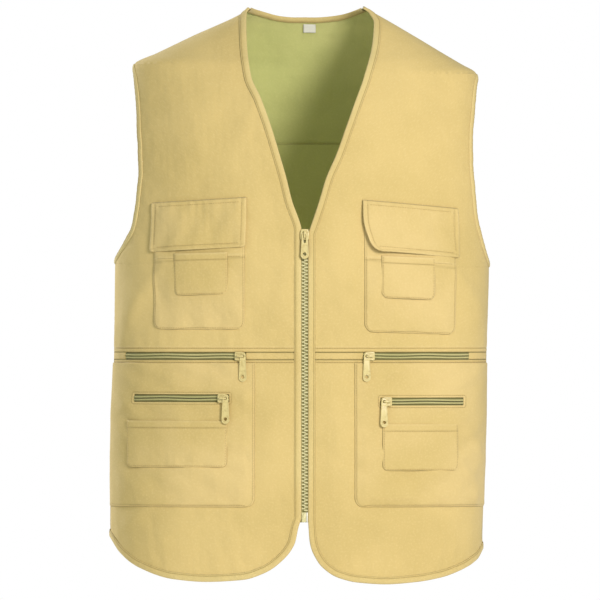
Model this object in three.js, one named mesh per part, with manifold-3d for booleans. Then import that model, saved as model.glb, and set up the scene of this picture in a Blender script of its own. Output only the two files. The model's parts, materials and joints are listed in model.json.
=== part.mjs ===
// Utility work vest: a sleeveless open-fronted twill vest that hangs in the form of a torso.
// Millimetres, +Z up, the front towards -Y, +X on the wearer's left.
// The origin is the middle of the back neck edge, where the vest hangs.
import * as THREE from 'three';
import { mergeVertices } from 'three/addons/utils/BufferGeometryUtils.js';
import Module from 'manifold-3d';

const wasm = await Module();
wasm.setup();

// Body sizes
const VEST_LENGTH = 700; // neck point down to the lowest hem
const CHEST_WIDTH = 456; // across the underarms, seen from the front
const CHEST_DEPTH = 236; // front to back
const NECK_RISE = 11; // neck point above the middle of the back neck
const SECTION_POWER = 2.3; // 2 makes the girth an ellipse, more makes it boxier
const YOKE_DROP = 164; // neck point down to the yoke seam in the back
const WAIST_DROP = 423; // neck point down to the middle of the waist seam
const BACK_HEM_DROP = 619; // neck point down to the back hem in the middle

// Cloth and gaps
const CLOTH = 1.2;
const BAND_CLOTH = 0.8;
const TAPE_CLOTH = 0.8;
const LAYER_GAP = 0.4; // between cloth layers
const SEAM_GAP = 0.3; // between pieces that meet edge to edge
const BAND_EASE = 0.45; // the front band stands further off over the tight curve of the shoulder
const NECK_BAND_GAP = 1.1; // the neck band lies inside the yoke's hollow curve
const EDGE_INSET = 0.6; // cloth edge under its band
const BACK_ARMHOLE_SHARE = 0.985; // back armhole edge, as a share of the front one's half width

// Edge bands
const FRONT_BAND_WIDTH = 8;
const ARMHOLE_BAND_WIDTH = 7;
const NECK_BAND_WIDTH = 7;
const HEM_BAND_WIDTH = 9;

// Chest pockets
const CHEST_POCKET_INNER = 72; // from the middle of the vest
const CHEST_POCKET_WIDTH = 110;
const CHEST_POCKET_DROP = 231; // neck point down to the flap seam
const CHEST_POCKET_HEIGHT = 160;
const CHEST_POCKET_CORNER = 11;
const CHEST_POCKET_LIFT = 2.6; // how far the slack pocket stands off the chest
const FLAP_HEIGHT = 60;
const FLAP_OVERHANG = 2;
const FLAP_CORNER = 4;
const CHEST_PATCH_INSET = 20; // from the pocket's inner edge
const CHEST_PATCH_WIDTH = 64;
const CHEST_PATCH_HEIGHT = 51;
const CHEST_PATCH_BELOW_FLAP = 4;
const PATCH_CORNER = 6;

// Lower pockets
const LOWER_POCKET_INNER = 60;
const LOWER_POCKET_BELOW_WAIST = 8;
const LOWER_POCKET_HEIGHT = 175;
const LOWER_POCKET_CORNER = 11;
const LOWER_POCKET_LIFT = 2.2;
const LOWER_POCKET_BEVEL = 13; // breadth of the slope at the pocket's edges
const LOWER_PATCH_INNER = 93;
const LOWER_PATCH_WIDTH = { right: 119, left: 89 };
const LOWER_PATCH_HEIGHT = 57;
const LOWER_PATCH_BELOW_ZIP = 27;

// Zips
const ZIP_WINDOW = 9; // height of the slot that shows a coil
const COIL_WIDTH = 4.2;
const COIL_HEIGHT = 1.6;
const TAPE_MARGIN = 6; // tape behind the cloth beyond the slot
const WAIST_ZIP_INNER = 71;
const WAIST_ZIP_MARGIN = { right: 14.7, left: 21.9 }; // zip end to the side seam
const POCKET_ZIP_INNER = 91;
const POCKET_ZIP_LENGTH = { right: 112, left: 98 };
const POCKET_ZIP_DROP = { right: 51, left: 55 }; // waist seam down to the pocket's zip
const CHAIN_WIDTH = 7.6; // front zip's teeth, both halves
const CHAIN_HEIGHT = 2;
const CHAIN_EDGE_GAP = 0.9; // teeth to the front edges
const TOOTH_PITCH = 8.4;
const TOOTH_REACH = 1.1;
const FRONT_ZIP_DROP = 276; // neck point down to the middle of the front slider
const FRONT_ZIP_LENGTH = 348; // slider down to the end of the box
const FRONT_TAPE_WIDTH = 14; // each half
const BOX_HEIGHT = 12;
const BOX_WIDTH = 5.4;
const BOX_DEPTH = 2.6;

// Sliders and pull tabs
const SLIDER_LENGTH = 13;
const SLIDER_WIDTH = 10.6;
const SLIDER_NOSE = 7;
const SLIDER_PLATE = 2.4;
const BRIDGE_WIDTH = 2;
const BRIDGE_BAR = 1.2;
const BRIDGE_LEG = 1.8;
const BRIDGE_SPAN = 7; // between the middles of the legs
const TAB_PLATE = 1.4;
const TAB_CLEARANCE = 0.45;
const TAB_LENGTH = 31;
const TAB_EYE_RADIUS = 1.9;
const TAB_TOP_RADIUS = 3.5;
const TAB_END_RADIUS = 4.8;
const TAB_HOLE_RADIUS = 2.1;
const FRONT_SLOT_WIDTH = 3;
const FRONT_SLOT_LENGTH = 11;
const FRONT_TAB_BAR = 1.3; // top bar of the front tab, under the bridge

// Label
const LABEL_WIDTH = 15;
const LABEL_HEIGHT = 10;
const LABEL_SHIFT = 6; // towards the wearer's left
const LABEL_CLOTH = 0.6;
const LABEL_GAP = 0.7;

const FABRIC_COLOR = 0xd2bd7c;
const BAND_COLOR = 0xc4ac6e;
const ZIP_COLOR = 0xb9b07c;
const METAL_COLOR = 0xe0cf95;
const LABEL_COLOR = 0xd8d4bc;

const SIDES = ['right', 'left'];
const SIGN = { right: -1, left: 1 };
const HALF_WIDTH = CHEST_WIDTH / 2;
const HALF_DEPTH = CHEST_DEPTH / 2;

// Girth sections. drop is a share of VEST_LENGTH below the neck point, right and left are shares of
// half CHEST_WIDTH, front and back are shares of half CHEST_DEPTH.
const SECTIONS = [
  { drop: 0.0, right: 0.289, left: 0.307, front: 0.12, back: 0.42 },
  { drop: 0.009, right: 0.325, left: 0.362, front: 0.17, back: 0.475 },
  { drop: 0.051, right: 0.601, left: 0.586, front: 0.39, back: 0.627 },
  { drop: 0.08, right: 0.786, left: 0.734, front: 0.525, back: 0.703 },
  { drop: 0.0985, right: 0.904, left: 0.83, front: 0.61, back: 0.746 },
  { drop: 0.1157, right: 0.914, left: 0.912, front: 0.66, back: 0.771 },
  { drop: 0.1757, right: 0.93, left: 0.934, front: 0.814, back: 0.856 },
  { drop: 0.23, right: 0.947, left: 0.949, front: 0.907, back: 0.907 },
  { drop: 0.3157, right: 0.963, left: 0.963, front: 0.983, back: 0.949 },
  { drop: 0.4014, right: 0.991, left: 0.974, front: 1.008, back: 0.949 },
  { drop: 0.4443, right: 1.006, left: 0.978, front: 1.008, back: 0.949 },
  { drop: 0.5943, right: 1.011, left: 0.965, front: 0.966, back: 0.881 },
  { drop: 0.7157, right: 1.026, left: 0.96, front: 0.958, back: 0.89 },
  { drop: 0.83, right: 1.031, left: 0.951, front: 0.966, back: 0.915 },
  { drop: 0.9443, right: 1.032, left: 0.943, front: 1.0, back: 0.949 },
  { drop: 1.016, right: 1.032, left: 0.943, front: 1.017, back: 0.966 },
];

// V neck edge: drop as above, right and left are distances from the middle, shares of half CHEST_WIDTH.
const NECK_EDGE = [
  { drop: 0.0, right: 0.286, left: 0.302 },
  { drop: 0.01, right: 0.31, left: 0.345 },
  { drop: 0.027, right: 0.313, left: 0.371 },
  { drop: 0.058, right: 0.311, left: 0.365 },
  { drop: 0.121, right: 0.287, left: 0.318 },
  { drop: 0.162, right: 0.232, left: 0.274 },
  { drop: 0.21, right: 0.179, left: 0.221 },
  { drop: 0.254, right: 0.138, left: 0.173 },
  { drop: 0.298, right: 0.099, left: 0.115 },
  { drop: 0.335, right: 0.071, left: 0.081 },
  { drop: 0.377, right: 0.025, left: 0.038 },
  { drop: 0.41, right: 0.0, left: 0.0 },
];

// Armhole edges from the shoulder tip to the underarm: x is a share of half CHEST_WIDTH.
const ARMHOLE = {
  right: [
    { drop: 0.0985, x: 0.904 },
    { drop: 0.1275, x: 0.887 },
    { drop: 0.162, x: 0.873 },
    { drop: 0.205, x: 0.866 },
    { drop: 0.248, x: 0.861 },
    { drop: 0.283, x: 0.859 },
    { drop: 0.317, x: 0.869 },
    { drop: 0.355, x: 0.884 },
    { drop: 0.388, x: 0.906 },
    { drop: 0.411, x: 0.946 },
    { drop: 0.43, x: 0.98 },
    { drop: 0.4443, x: 1.006 },
  ],
  left: [
    { drop: 0.1157, x: 0.912 },
    { drop: 0.133, x: 0.897 },
    { drop: 0.176, x: 0.882 },
    { drop: 0.221, x: 0.871 },
    { drop: 0.265, x: 0.871 },
    { drop: 0.315, x: 0.884 },
    { drop: 0.366, x: 0.903 },
    { drop: 0.404, x: 0.932 },
    { drop: 0.43, x: 0.957 },
    { drop: 0.45, x: 0.978 },
  ],
};

// Rounded front hem: across runs from the middle (0) to the side seam (1) of the girth there.
const FRONT_HEM = {
  right: [
    { across: 0.02, drop: 0.885 },
    { across: 0.034, drop: 0.899 },
    { across: 0.055, drop: 0.929 },
    { across: 0.1145, drop: 0.956 },
    { across: 0.2, drop: 0.977 },
    { across: 0.319, drop: 0.99 },
    { across: 0.507, drop: 0.9935 },
    { across: 0.676, drop: 0.989 },
    { across: 0.847, drop: 0.97 },
    { across: 0.95, drop: 0.943 },
    { across: 1.0, drop: 0.918 },
  ],
  left: [
    { across: 0.021, drop: 0.885 },
    { across: 0.0315, drop: 0.926 },
    { across: 0.052, drop: 0.946 },
    { across: 0.103, drop: 0.969 },
    { across: 0.187, drop: 0.986 },
    { across: 0.299, drop: 0.9945 },
    { across: 0.4565, drop: 0.9976 },
    { across: 0.625, drop: 0.994 },
    { across: 0.774, drop: 0.986 },
    { across: 0.886, drop: 0.973 },
    { across: 0.97, drop: 0.956 },
    { across: 1.0, drop: 0.94 },
  ],
};

// Soft folds: x and drop place the middle, tilt turns the fold from upright towards +X,
// length and breadth are shares of VEST_LENGTH, height is a share of CHEST_DEPTH.
const FOLDS = [
  { face: 'front', x: -0.93, drop: 0.52, tilt: 24, length: 0.06, breadth: 0.02, height: 0.014 },
  { face: 'front', x: 0.9, drop: 0.53, tilt: -22, length: 0.06, breadth: 0.02, height: 0.014 },
  { face: 'front', x: -0.56, drop: 0.2, tilt: 14, length: 0.09, breadth: 0.036, height: 0.014 },
  { face: 'front', x: 0.6, drop: 0.21, tilt: -16, length: 0.09, breadth: 0.036, height: 0.014 },
  { face: 'front', x: -0.18, drop: 0.76, tilt: 4, length: 0.12, breadth: 0.03, height: 0.012 },
  { face: 'front', x: 0.17, drop: 0.74, tilt: -5, length: 0.12, breadth: 0.03, height: 0.012 },
  { face: 'back', x: -0.55, drop: 0.62, tilt: 5, length: 0.2, breadth: 0.04, height: 0.03 },
  { face: 'back', x: -0.1, drop: 0.7, tilt: -3, length: 0.2, breadth: 0.045, height: 0.026 },
  { face: 'back', x: 0.42, drop: 0.65, tilt: -6, length: 0.2, breadth: 0.04, height: 0.03 },
  { face: 'back', x: 0.05, drop: 0.36, tilt: 80, length: 0.12, breadth: 0.035, height: 0.014 },
];

// Small differences between the two chest pockets: lower moves one down, slope tilts its flap seam
// towards the side seam, foot tilts its bottom, corner is how far the flap's inner corner lifts.
const CHEST_FIT = {
  right: { lower: 0, slope: 0.057, foot: 0.0, corner: 1.2 },
  left: { lower: 3, slope: 0.09, foot: 0.03, corner: 7 },
};

// Smooth curve through a table's rows that never swings past them
function curve(rows, from, to) {
  const xs = rows.map((row) => row[from]);
  const ys = rows.map((row) => row[to]);
  const last = xs.length - 1;
  const rises = xs.slice(1).map((x, i) => (ys[i + 1] - ys[i]) / (x - xs[i]));
  const slopes = xs.map((x, i) => {
    if (i === 0) return rises[0];
    if (i === last) return rises[last - 1];
    const product = rises[i - 1] * rises[i];
    return product > 0 ? (2 * product) / (rises[i - 1] + rises[i]) : 0;
  });
  return (x) => {
    if (x <= xs[0]) return ys[0] + (x - xs[0]) * slopes[0];
    if (x >= xs[last]) return ys[last] + (x - xs[last]) * slopes[last];
    let i = 0;
    while (x > xs[i + 1]) i += 1;
    const span = xs[i + 1] - xs[i];
    const t = (x - xs[i]) / span;
    const start = (1 + 2 * t) * (1 - t) ** 2 * ys[i] + t * (1 - t) ** 2 * span * slopes[i];
    const end = t * t * (3 - 2 * t) * ys[i + 1] + t * t * (t - 1) * span * slopes[i + 1];
    return start + end;
  };
}

const dropOf = (z) => (NECK_RISE - z) / VEST_LENGTH;
const heightOf = (drop) => NECK_RISE - drop * VEST_LENGTH;
const mix = (a, b, t) => a + (b - a) * t;
const shares = (count) => Array.from({ length: count + 1 }, (_, i) => i / count);

const girth = {
  right: curve(SECTIONS, 'drop', 'right'),
  left: curve(SECTIONS, 'drop', 'left'),
  front: curve(SECTIONS, 'drop', 'front'),
  back: curve(SECTIONS, 'drop', 'back'),
};
const halfWidth = (side, z) => HALF_WIDTH * girth[side](dropOf(z));
const halfDepth = (face, z) => HALF_DEPTH * girth[face](dropOf(z));

// Angles run round the body: 0 at the wearer's left side, 90 degrees at the front, 180 at the right.
function skin(angle, z) {
  const across = Math.cos(angle);
  const ahead = Math.sin(angle);
  const wide = halfWidth(across < 0 ? 'right' : 'left', z);
  const deep = halfDepth(ahead > 0 ? 'front' : 'back', z);
  const sum = Math.abs(across / wide) ** SECTION_POWER + Math.abs(ahead / deep) ** SECTION_POWER;
  const radius = sum ** (-1 / SECTION_POWER);
  return new THREE.Vector3(radius * across, -radius * ahead, z);
}

function skinNormal(angle, z) {
  const turn = 0.002;
  const step = 0.5;
  const round = skin(angle + turn, z).sub(skin(angle - turn, z));
  const up = skin(angle, z + step).sub(skin(angle, z - step));
  return up.cross(round).normalize();
}

function foldHeight(point) {
  const face = point.y < 0 ? 'front' : 'back';
  let total = 0;
  for (const fold of FOLDS) {
    if (fold.face !== face) continue;
    const turn = THREE.MathUtils.degToRad(fold.tilt);
    const dx = point.x - fold.x * HALF_WIDTH;
    const dz = point.z - heightOf(fold.drop);
    const along = (dz * Math.cos(turn) + dx * Math.sin(turn)) / (fold.length * VEST_LENGTH);
    const over = (dx * Math.cos(turn) - dz * Math.sin(turn)) / (fold.breadth * VEST_LENGTH);
    total += fold.height * CHEST_DEPTH * Math.exp(-along * along - over * over);
  }
  const inward = Math.min(1, Math.abs(point.y) / (HALF_DEPTH * 0.4));
  return total * inward;
}

// Point of the cloth at a height off the skin
function clothPoint(angle, z, height) {
  const point = skin(angle, z);
  return point.addScaledVector(skinNormal(angle, z), height + foldHeight(point));
}

// Angle of the point that shows at x in the front or back view
function angleOf(x, z, face = 'front') {
  const reach = Math.min(1, Math.abs(x) / halfWidth(x < 0 ? 'right' : 'left', z));
  const deep = halfDepth(face, z) * (1 - reach ** SECTION_POWER) ** (1 / SECTION_POWER);
  return Math.atan2(face === 'front' ? deep : -deep, x);
}

const seamAngle = (side, face) => {
  const ahead = face === 'front' ? 1 : -1;
  const gap = SEAM_GAP / 2 / HALF_WIDTH;
  return side === 'left' ? ahead * gap : ahead * (Math.PI - gap);
};

const neckEdge = {
  right: curve(NECK_EDGE, 'drop', 'right'),
  left: curve(NECK_EDGE, 'drop', 'left'),
};
const FRONT_EDGE = CHAIN_WIDTH / 2 + CHAIN_EDGE_GAP;
const edgeX = (side, z) => Math.max(FRONT_EDGE, HALF_WIDTH * neckEdge[side](dropOf(z)));

const armholeShare = { right: curve(ARMHOLE.right, 'drop', 'x'), left: curve(ARMHOLE.left, 'drop', 'x') };
const tipHeight = (side) => heightOf(ARMHOLE[side][0].drop);
const underarmHeight = (side) => heightOf(ARMHOLE[side][ARMHOLE[side].length - 1].drop);

// How far out the back's armhole lies as a share of the front's: the same at both its ends
function backArmholeShare(side, z) {
  const way = (tipHeight(side) - z) / (tipHeight(side) - underarmHeight(side));
  return 1 - (1 - BACK_ARMHOLE_SHARE) * Math.sin(Math.PI * Math.min(1, Math.max(0, way)));
}

// Angle of a panel's outer edge: the shoulder seam, then the armhole, then the side seam
function outerAngle(side, face, z, inset = 0) {
  if (z >= tipHeight(side) || z <= underarmHeight(side)) return seamAngle(side, face);
  const share = face === 'back' ? backArmholeShare(side, z) : 1;
  const x = Math.min(HALF_WIDTH * armholeShare[side](dropOf(z)) * share - inset, halfWidth(side, z));
  return angleOf(SIGN[side] * x, z, face);
}

const hemDrop = {
  right: curve(FRONT_HEM.right, 'across', 'drop'),
  left: curve(FRONT_HEM.left, 'across', 'drop'),
};
const frontHemHeight = (side, across) => heightOf(hemDrop[side](across));
const sideHemHeight = (side) => frontHemHeight(side, 1);

// Back hem: sinks evenly from the middle to the side seams
function backHemHeight(angle) {
  const side = Math.cos(angle) < 0 ? 'right' : 'left';
  return mix(NECK_RISE - BACK_HEM_DROP, sideHemHeight(side), Math.abs(Math.cos(angle)) ** 3);
}

// Closed geometry from points and triangles, with the faces turned outwards
function closedGeometry(points, triangles) {
  let volume = 0;
  for (const [a, b, c] of triangles) {
    volume += points[a].dot(new THREE.Vector3().crossVectors(points[b], points[c]));
  }
  const faces = volume < 0 ? triangles.map(([a, b, c]) => [a, c, b]) : triangles;
  const geometry = new THREE.BufferGeometry();
  geometry.setAttribute('position', new THREE.Float32BufferAttribute(points.flatMap((p) => p.toArray()), 3));
  geometry.setIndex(faces.flat());
  geometry.computeVertexNormals();
  return geometry;
}

// Cloth sheet on a grid. spot(u, v) gives angle, z, low and high; open(i, j) leaves a cell out.
function sheet(us, vs, spot, open = () => false) {
  const points = [];
  for (const v of vs) {
    for (const u of us) {
      const { angle, z, low, high } = spot(u, v);
      points.push(clothPoint(angle, z, low), clothPoint(angle, z, high));
    }
  }
  const id = (i, j, top) => 2 * (j * us.length + i) + top;
  const filled = (i, j) => i >= 0 && j >= 0 && i < us.length - 1 && j < vs.length - 1 && !open(i, j);
  const triangles = [];
  const quad = (a, b, c, d) => triangles.push([a, b, c], [a, c, d]);
  for (let j = 0; j < vs.length - 1; j += 1) {
    for (let i = 0; i < us.length - 1; i += 1) {
      if (!filled(i, j)) continue;
      quad(id(i, j, 1), id(i + 1, j, 1), id(i + 1, j + 1, 1), id(i, j + 1, 1));
      quad(id(i, j, 0), id(i, j + 1, 0), id(i + 1, j + 1, 0), id(i + 1, j, 0));
      if (!filled(i, j - 1)) quad(id(i, j, 0), id(i + 1, j, 0), id(i + 1, j, 1), id(i, j, 1));
      if (!filled(i, j + 1)) quad(id(i, j + 1, 0), id(i, j + 1, 1), id(i + 1, j + 1, 1), id(i + 1, j + 1, 0));
      if (!filled(i - 1, j)) quad(id(i, j, 0), id(i, j, 1), id(i, j + 1, 1), id(i, j + 1, 0));
      if (!filled(i + 1, j)) quad(id(i + 1, j, 0), id(i + 1, j + 1, 0), id(i + 1, j + 1, 1), id(i + 1, j, 1));
    }
  }
  const used = [...new Set(triangles.flat())];
  const place = new Map(used.map((old, now) => [old, now]));
  return closedGeometry(used.map((i) => points[i]), triangles.map((t) => t.map((i) => place.get(i))));
}

// Solid through a row of four-cornered sections, a ring when closed
function loft(sections, closed = false) {
  const points = sections.flat();
  const triangles = [];
  const quad = (a, b, c, d) => triangles.push([a, b, c], [a, c, d]);
  const count = closed ? sections.length : sections.length - 1;
  for (let k = 0; k < count; k += 1) {
    const here = 4 * k;
    const next = 4 * ((k + 1) % sections.length);
    for (let c = 0; c < 4; c += 1) {
      const d = (c + 1) % 4;
      quad(here + c, here + d, next + d, next + c);
    }
  }
  if (!closed) {
    const end = 4 * (sections.length - 1);
    quad(0, 3, 2, 1);
    quad(end, end + 1, end + 2, end + 3);
  }
  return closedGeometry(points, triangles);
}

// Angle and height of a point near the skin
const spotOf = (point) => ({ angle: Math.atan2(-point.y, point.x), z: point.z });

// Flat strip that follows an edge on the skin and lies to one side of it. Each place of the path may
// stand a little further off, as its ease.
function edgeStrip(path, width, low, high, closed = false) {
  const points = path.map(({ angle, z }) => skin(angle, z));
  const count = path.length;
  const sections = path.map(({ angle, z, ease = 0 }, i) => {
    const before = points[closed ? (i + count - 1) % count : Math.max(0, i - 1)];
    const after = points[closed ? (i + 1) % count : Math.min(count - 1, i + 1)];
    const along = after.clone().sub(before).normalize();
    const inward = skinNormal(angle, z).cross(along).normalize();
    const inner = spotOf(points[i].clone().addScaledVector(inward, width));
    return [
      clothPoint(angle, z, low + ease),
      clothPoint(angle, z, high + ease),
      clothPoint(inner.angle, inner.z, high + ease),
      clothPoint(inner.angle, inner.z, low + ease),
    ];
  });
  return loft(sections, closed);
}

const vest = new THREE.Group();
const backNeckDepth = halfDepth('back', 0);
vest.position.set(0, -backNeckDepth, 0);

const finishes = {
  fabric: new THREE.MeshStandardMaterial({ color: FABRIC_COLOR, roughness: 0.9, metalness: 0 }),
  band: new THREE.MeshStandardMaterial({ color: BAND_COLOR, roughness: 0.9, metalness: 0 }),
  zip: new THREE.MeshStandardMaterial({ color: ZIP_COLOR, roughness: 0.6, metalness: 0 }),
  metal: new THREE.MeshStandardMaterial({ color: METAL_COLOR, roughness: 0.4, metalness: 0.2 }),
  label: new THREE.MeshStandardMaterial({ color: LABEL_COLOR, roughness: 0.8, metalness: 0 }),
};

function add(name, geometry, finish, parent = vest) {
  const mesh = new THREE.Mesh(geometry, finishes[finish]);
  mesh.name = name;
  parent.add(mesh);
  return mesh;
}

// Heights of the cloth layers off the skin
const SECOND_LAYER = CLOTH + LAYER_GAP;
const THIRD_LAYER = SECOND_LAYER + CLOTH + LAYER_GAP;
const BAND_TOP = SECOND_LAYER + BAND_CLOTH;

const WAIST = NECK_RISE - WAIST_DROP;
const WAIST_TOP = WAIST + ZIP_WINDOW / 2;
const WAIST_FOOT = WAIST - ZIP_WINDOW / 2;

// Height where the shoulder seam is a given distance outside the neck edge
function shoulderStart(side, clear) {
  let high = NECK_RISE;
  let low = tipHeight(side);
  for (let i = 0; i < 40; i += 1) {
    const z = (high + low) / 2;
    if (halfWidth(side, z) - edgeX(side, z) > clear) low = z;
    else high = z;
  }
  return high;
}

// Girth stations that the front panels and the zips between them share, as shares of the half width
const FRONT_STATIONS = [0.18, 0.42, 0.54, 0.64, 0.73, 0.81, 0.88, 0.945, 0.985];
const waistZipEnd = (side) => halfWidth(side, WAIST) - WAIST_ZIP_MARGIN[side];

function frontStations(side, from, to) {
  const wide = halfWidth(side, WAIST);
  const ends = [WAIST_ZIP_INNER / wide, waistZipEnd(side) / wide];
  const clear = 0.02;
  const free = FRONT_STATIONS.filter((s) => ends.every((end) => Math.abs(s - end) > clear));
  const all = [...free, ...ends].sort((a, b) => a - b);
  return [from, ...all.filter((s) => s > from + clear / 4 && s < to - clear / 4), to];
}

function frontUpper(side) {
  const top = shoulderStart(side, FRONT_BAND_WIDTH / 2);
  const tip = tipHeight(side);
  const underarm = underarmHeight(side);
  const armholeRows = [0.02, 0.07, 0.16, 0.36, 0.6, 0.8, 0.92, 0.98, 1];
  const rows = [
    ...shares(4).map((t) => mix(top, tip, t)),
    ...armholeRows.map((t) => mix(tip, underarm, t)),
    ...shares(3).slice(1).map((t) => mix(underarm, WAIST_TOP, t)),
  ];
  const wide = halfWidth(side, WAIST_TOP);
  const start = angleOf(SIGN[side] * (FRONT_EDGE + EDGE_INSET), WAIST_TOP);
  const end = seamAngle(side, 'front');
  const stations = frontStations(side, (FRONT_EDGE + EDGE_INSET) / wide, 1);
  const columns = stations.map((s) => {
    const angle = s === 1 ? end : angleOf(SIGN[side] * s * wide, WAIST_TOP);
    return (angle - start) / (end - start);
  });
  const spot = (u, z) => {
    const inner = angleOf(SIGN[side] * (edgeX(side, z) + EDGE_INSET), z) - start;
    const outer = outerAngle(side, 'front', z, EDGE_INSET) - end;
    return { angle: mix(start, end, u) + inner * (1 - u) + outer * u ** 1.6, z, low: 0, high: CLOTH };
  };
  return sheet(columns, rows, spot);
}

function frontLower(side) {
  const start = (FRONT_EDGE + EDGE_INSET) / halfWidth(side, WAIST_FOOT);
  const corner = [0.05, 0.09];
  const [first, ...rest] = frontStations(side, start, 1);
  const spot = (across, v) => {
    const z = mix(WAIST_FOOT, frontHemHeight(side, across) + EDGE_INSET, v);
    const x = SIGN[side] * across * halfWidth(side, z);
    const angle = across === 1 ? seamAngle(side, 'front') : angleOf(x, z);
    return { angle, z, low: 0, high: CLOTH };
  };
  return sheet([first, ...corner, ...rest], shares(7), spot);
}

// Strip of cloth in the waist seam, between two shares of the half width
function waistStrip(side, from, to) {
  const half = ZIP_WINDOW / 2 - SEAM_GAP;
  const spot = (across, v) => {
    const z = WAIST + half * v;
    const x = SIGN[side] * across * halfWidth(side, z);
    return { angle: across === 1 ? seamAngle(side, 'front') : angleOf(x, z), z, low: 0, high: CLOTH };
  };
  return sheet(frontStations(side, from, to), [1, -1], spot);
}

function backBody() {
  const top = NECK_RISE - YOKE_DROP - SEAM_GAP / 2;
  // Rows run from 0 at the yoke seam to 1 at the underarm and 2 at the hem
  const rows = [0, 0.35, 0.65, 0.85, 0.95, 1, 1.25, 1.5, 1.75, 2];
  const spot = (u, v) => {
    const underarm = mix(underarmHeight('right'), underarmHeight('left'), u);
    const hem = backHemHeight(mix(-Math.PI, 0, u)) + EDGE_INSET;
    const z = v <= 1 ? mix(top, underarm, v) : mix(underarm, hem, v - 1);
    const right = outerAngle('right', 'back', z, EDGE_INSET);
    return { angle: mix(right, outerAngle('left', 'back', z, EDGE_INSET), u), z, low: 0, high: CLOTH };
  };
  return sheet(shares(18), rows, spot);
}

// Back neck edge: distance from the middle as a share of the neck point's, drop below it
const backNeckHeight = (share) => NECK_RISE * Math.abs(share) ** 2.4;
const neckPoint = (side) => HALF_WIDTH * NECK_EDGE[0][side];

// Height of the yoke's top edge at x: the neck edge in the middle, then the shoulder seam
function yokeTop(side, x) {
  const point = neckPoint(side);
  if (x <= point) return backNeckHeight(x / point) - EDGE_INSET;
  let high = NECK_RISE;
  let low = tipHeight(side);
  for (let i = 0; i < 40; i += 1) {
    const z = (high + low) / 2;
    if (halfWidth(side, z) > x) low = z;
    else high = z;
  }
  return high;
}

// Stations across the back neck, as shares of the way to the neck point
const NECK_STATIONS = [0, 0.25, 0.5, 0.75, 0.92, 1];

function backYoke() {
  const foot = NECK_RISE - YOKE_DROP + SEAM_GAP / 2;
  const reachAt = (side) => HALF_WIDTH * ARMHOLE[side][0].x - EDGE_INSET;
  const stations = (side) => {
    const point = neckPoint(side) / reachAt(side);
    return [...NECK_STATIONS.map((s) => s * point), ...[0.06, 0.28, 0.52, 0.76, 1].map((s) => mix(point, 1, s))];
  };
  const columns = [...stations('right').slice(1).reverse().map((s) => -s), ...stations('left')];
  const rows = [0, 0.09, 0.2, 0.4, 0.62, 0.82, 1];
  const spot = (u, v) => {
    const side = u < 0 ? 'right' : 'left';
    const reach = (z) => {
      const share = armholeShare[side](Math.max(dropOf(z), dropOf(tipHeight(side))));
      return HALF_WIDTH * share * backArmholeShare(side, z) - EDGE_INSET;
    };
    const start = Math.abs(u) * reach(NECK_RISE);
    const z = mix(yokeTop(side, start), foot, v * v);
    if (v === 0 && start > neckPoint(side)) return { angle: seamAngle(side, 'back'), z, low: 0, high: CLOTH };
    const x = Math.min(Math.abs(u) * reach(z), halfWidth(side, z));
    return { angle: angleOf(SIGN[side] * x, z, 'back'), z, low: 0, high: CLOTH };
  };
  return sheet(columns, rows, spot);
}

// Where the V neck's edge is sampled, as shares of its length, closest over the shoulder
const NECK_EDGE_SHARES = [
  0.005, 0.02, 0.037, 0.056, 0.078, 0.102, 0.128, 0.156, 0.187, 0.222, 0.262, 0.31, 0.37, 0.44, 0.53,
  0.65, 0.78, 0.9,
];
const HEM_SHARES = [
  0.035, 0.055, 0.08, 0.115, 0.16, 0.22, 0.3, 0.4, 0.5, 0.6, 0.69, 0.76, 0.82, 0.87, 0.91, 0.945, 0.97, 0.988,
];

// Edge of one front, from the neck point down the V and the zip, then round the hem to the side seam
function frontEdgePath(side) {
  const corner = FRONT_HEM[side][0].drop;
  const zipStart = dropOf(NECK_RISE - FRONT_ZIP_DROP);
  const neck = NECK_EDGE_SHARES.map((share) => share * zipStart);
  const easeFoot = mix(NECK_RISE, NECK_RISE - FRONT_ZIP_DROP, 0.7);
  const drops = [...neck, ...shares(7).map((t) => mix(zipStart + 0.012, corner, t))];
  const path = drops.map((drop) => {
    const z = heightOf(drop);
    const ease = BAND_EASE * Math.min(1, Math.max(0, (z - easeFoot) / (tipHeight(side) - easeFoot)));
    return { angle: angleOf(SIGN[side] * Math.min(edgeX(side, z), halfWidth(side, z)), z), z, ease };
  });
  for (const across of HEM_SHARES) {
    const z = frontHemHeight(side, across);
    path.push({ angle: angleOf(SIGN[side] * across * halfWidth(side, z), z), z });
  }
  path.push({ angle: seamAngle(side, 'front'), z: sideHemHeight(side) });
  return path;
}

function frontBand(side) {
  const path = frontEdgePath(side);
  const width = side === 'right' ? -FRONT_BAND_WIDTH : FRONT_BAND_WIDTH;
  return edgeStrip(path, width, SECOND_LAYER, BAND_TOP);
}

function armholeBand(side) {
  const tip = tipHeight(side);
  const underarm = underarmHeight(side);
  const steps = [0.02, 0.07, 0.15, 0.27, 0.41, 0.55, 0.68, 0.79, 0.87, 0.93, 0.97, 0.992];
  const leg = (face) => steps.map((t) => {
    const z = mix(tip, underarm, t);
    return { angle: outerAngle(side, face, z), z };
  });
  const middle = side === 'left' ? 0 : Math.PI;
  const path = [
    { angle: middle, z: tip },
    ...leg('front'),
    { angle: middle, z: underarm },
    ...leg('back').reverse(),
  ];
  const width = side === 'right' ? ARMHOLE_BAND_WIDTH : -ARMHOLE_BAND_WIDTH;
  return edgeStrip(path, -width, SECOND_LAYER, BAND_TOP, true);
}

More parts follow.
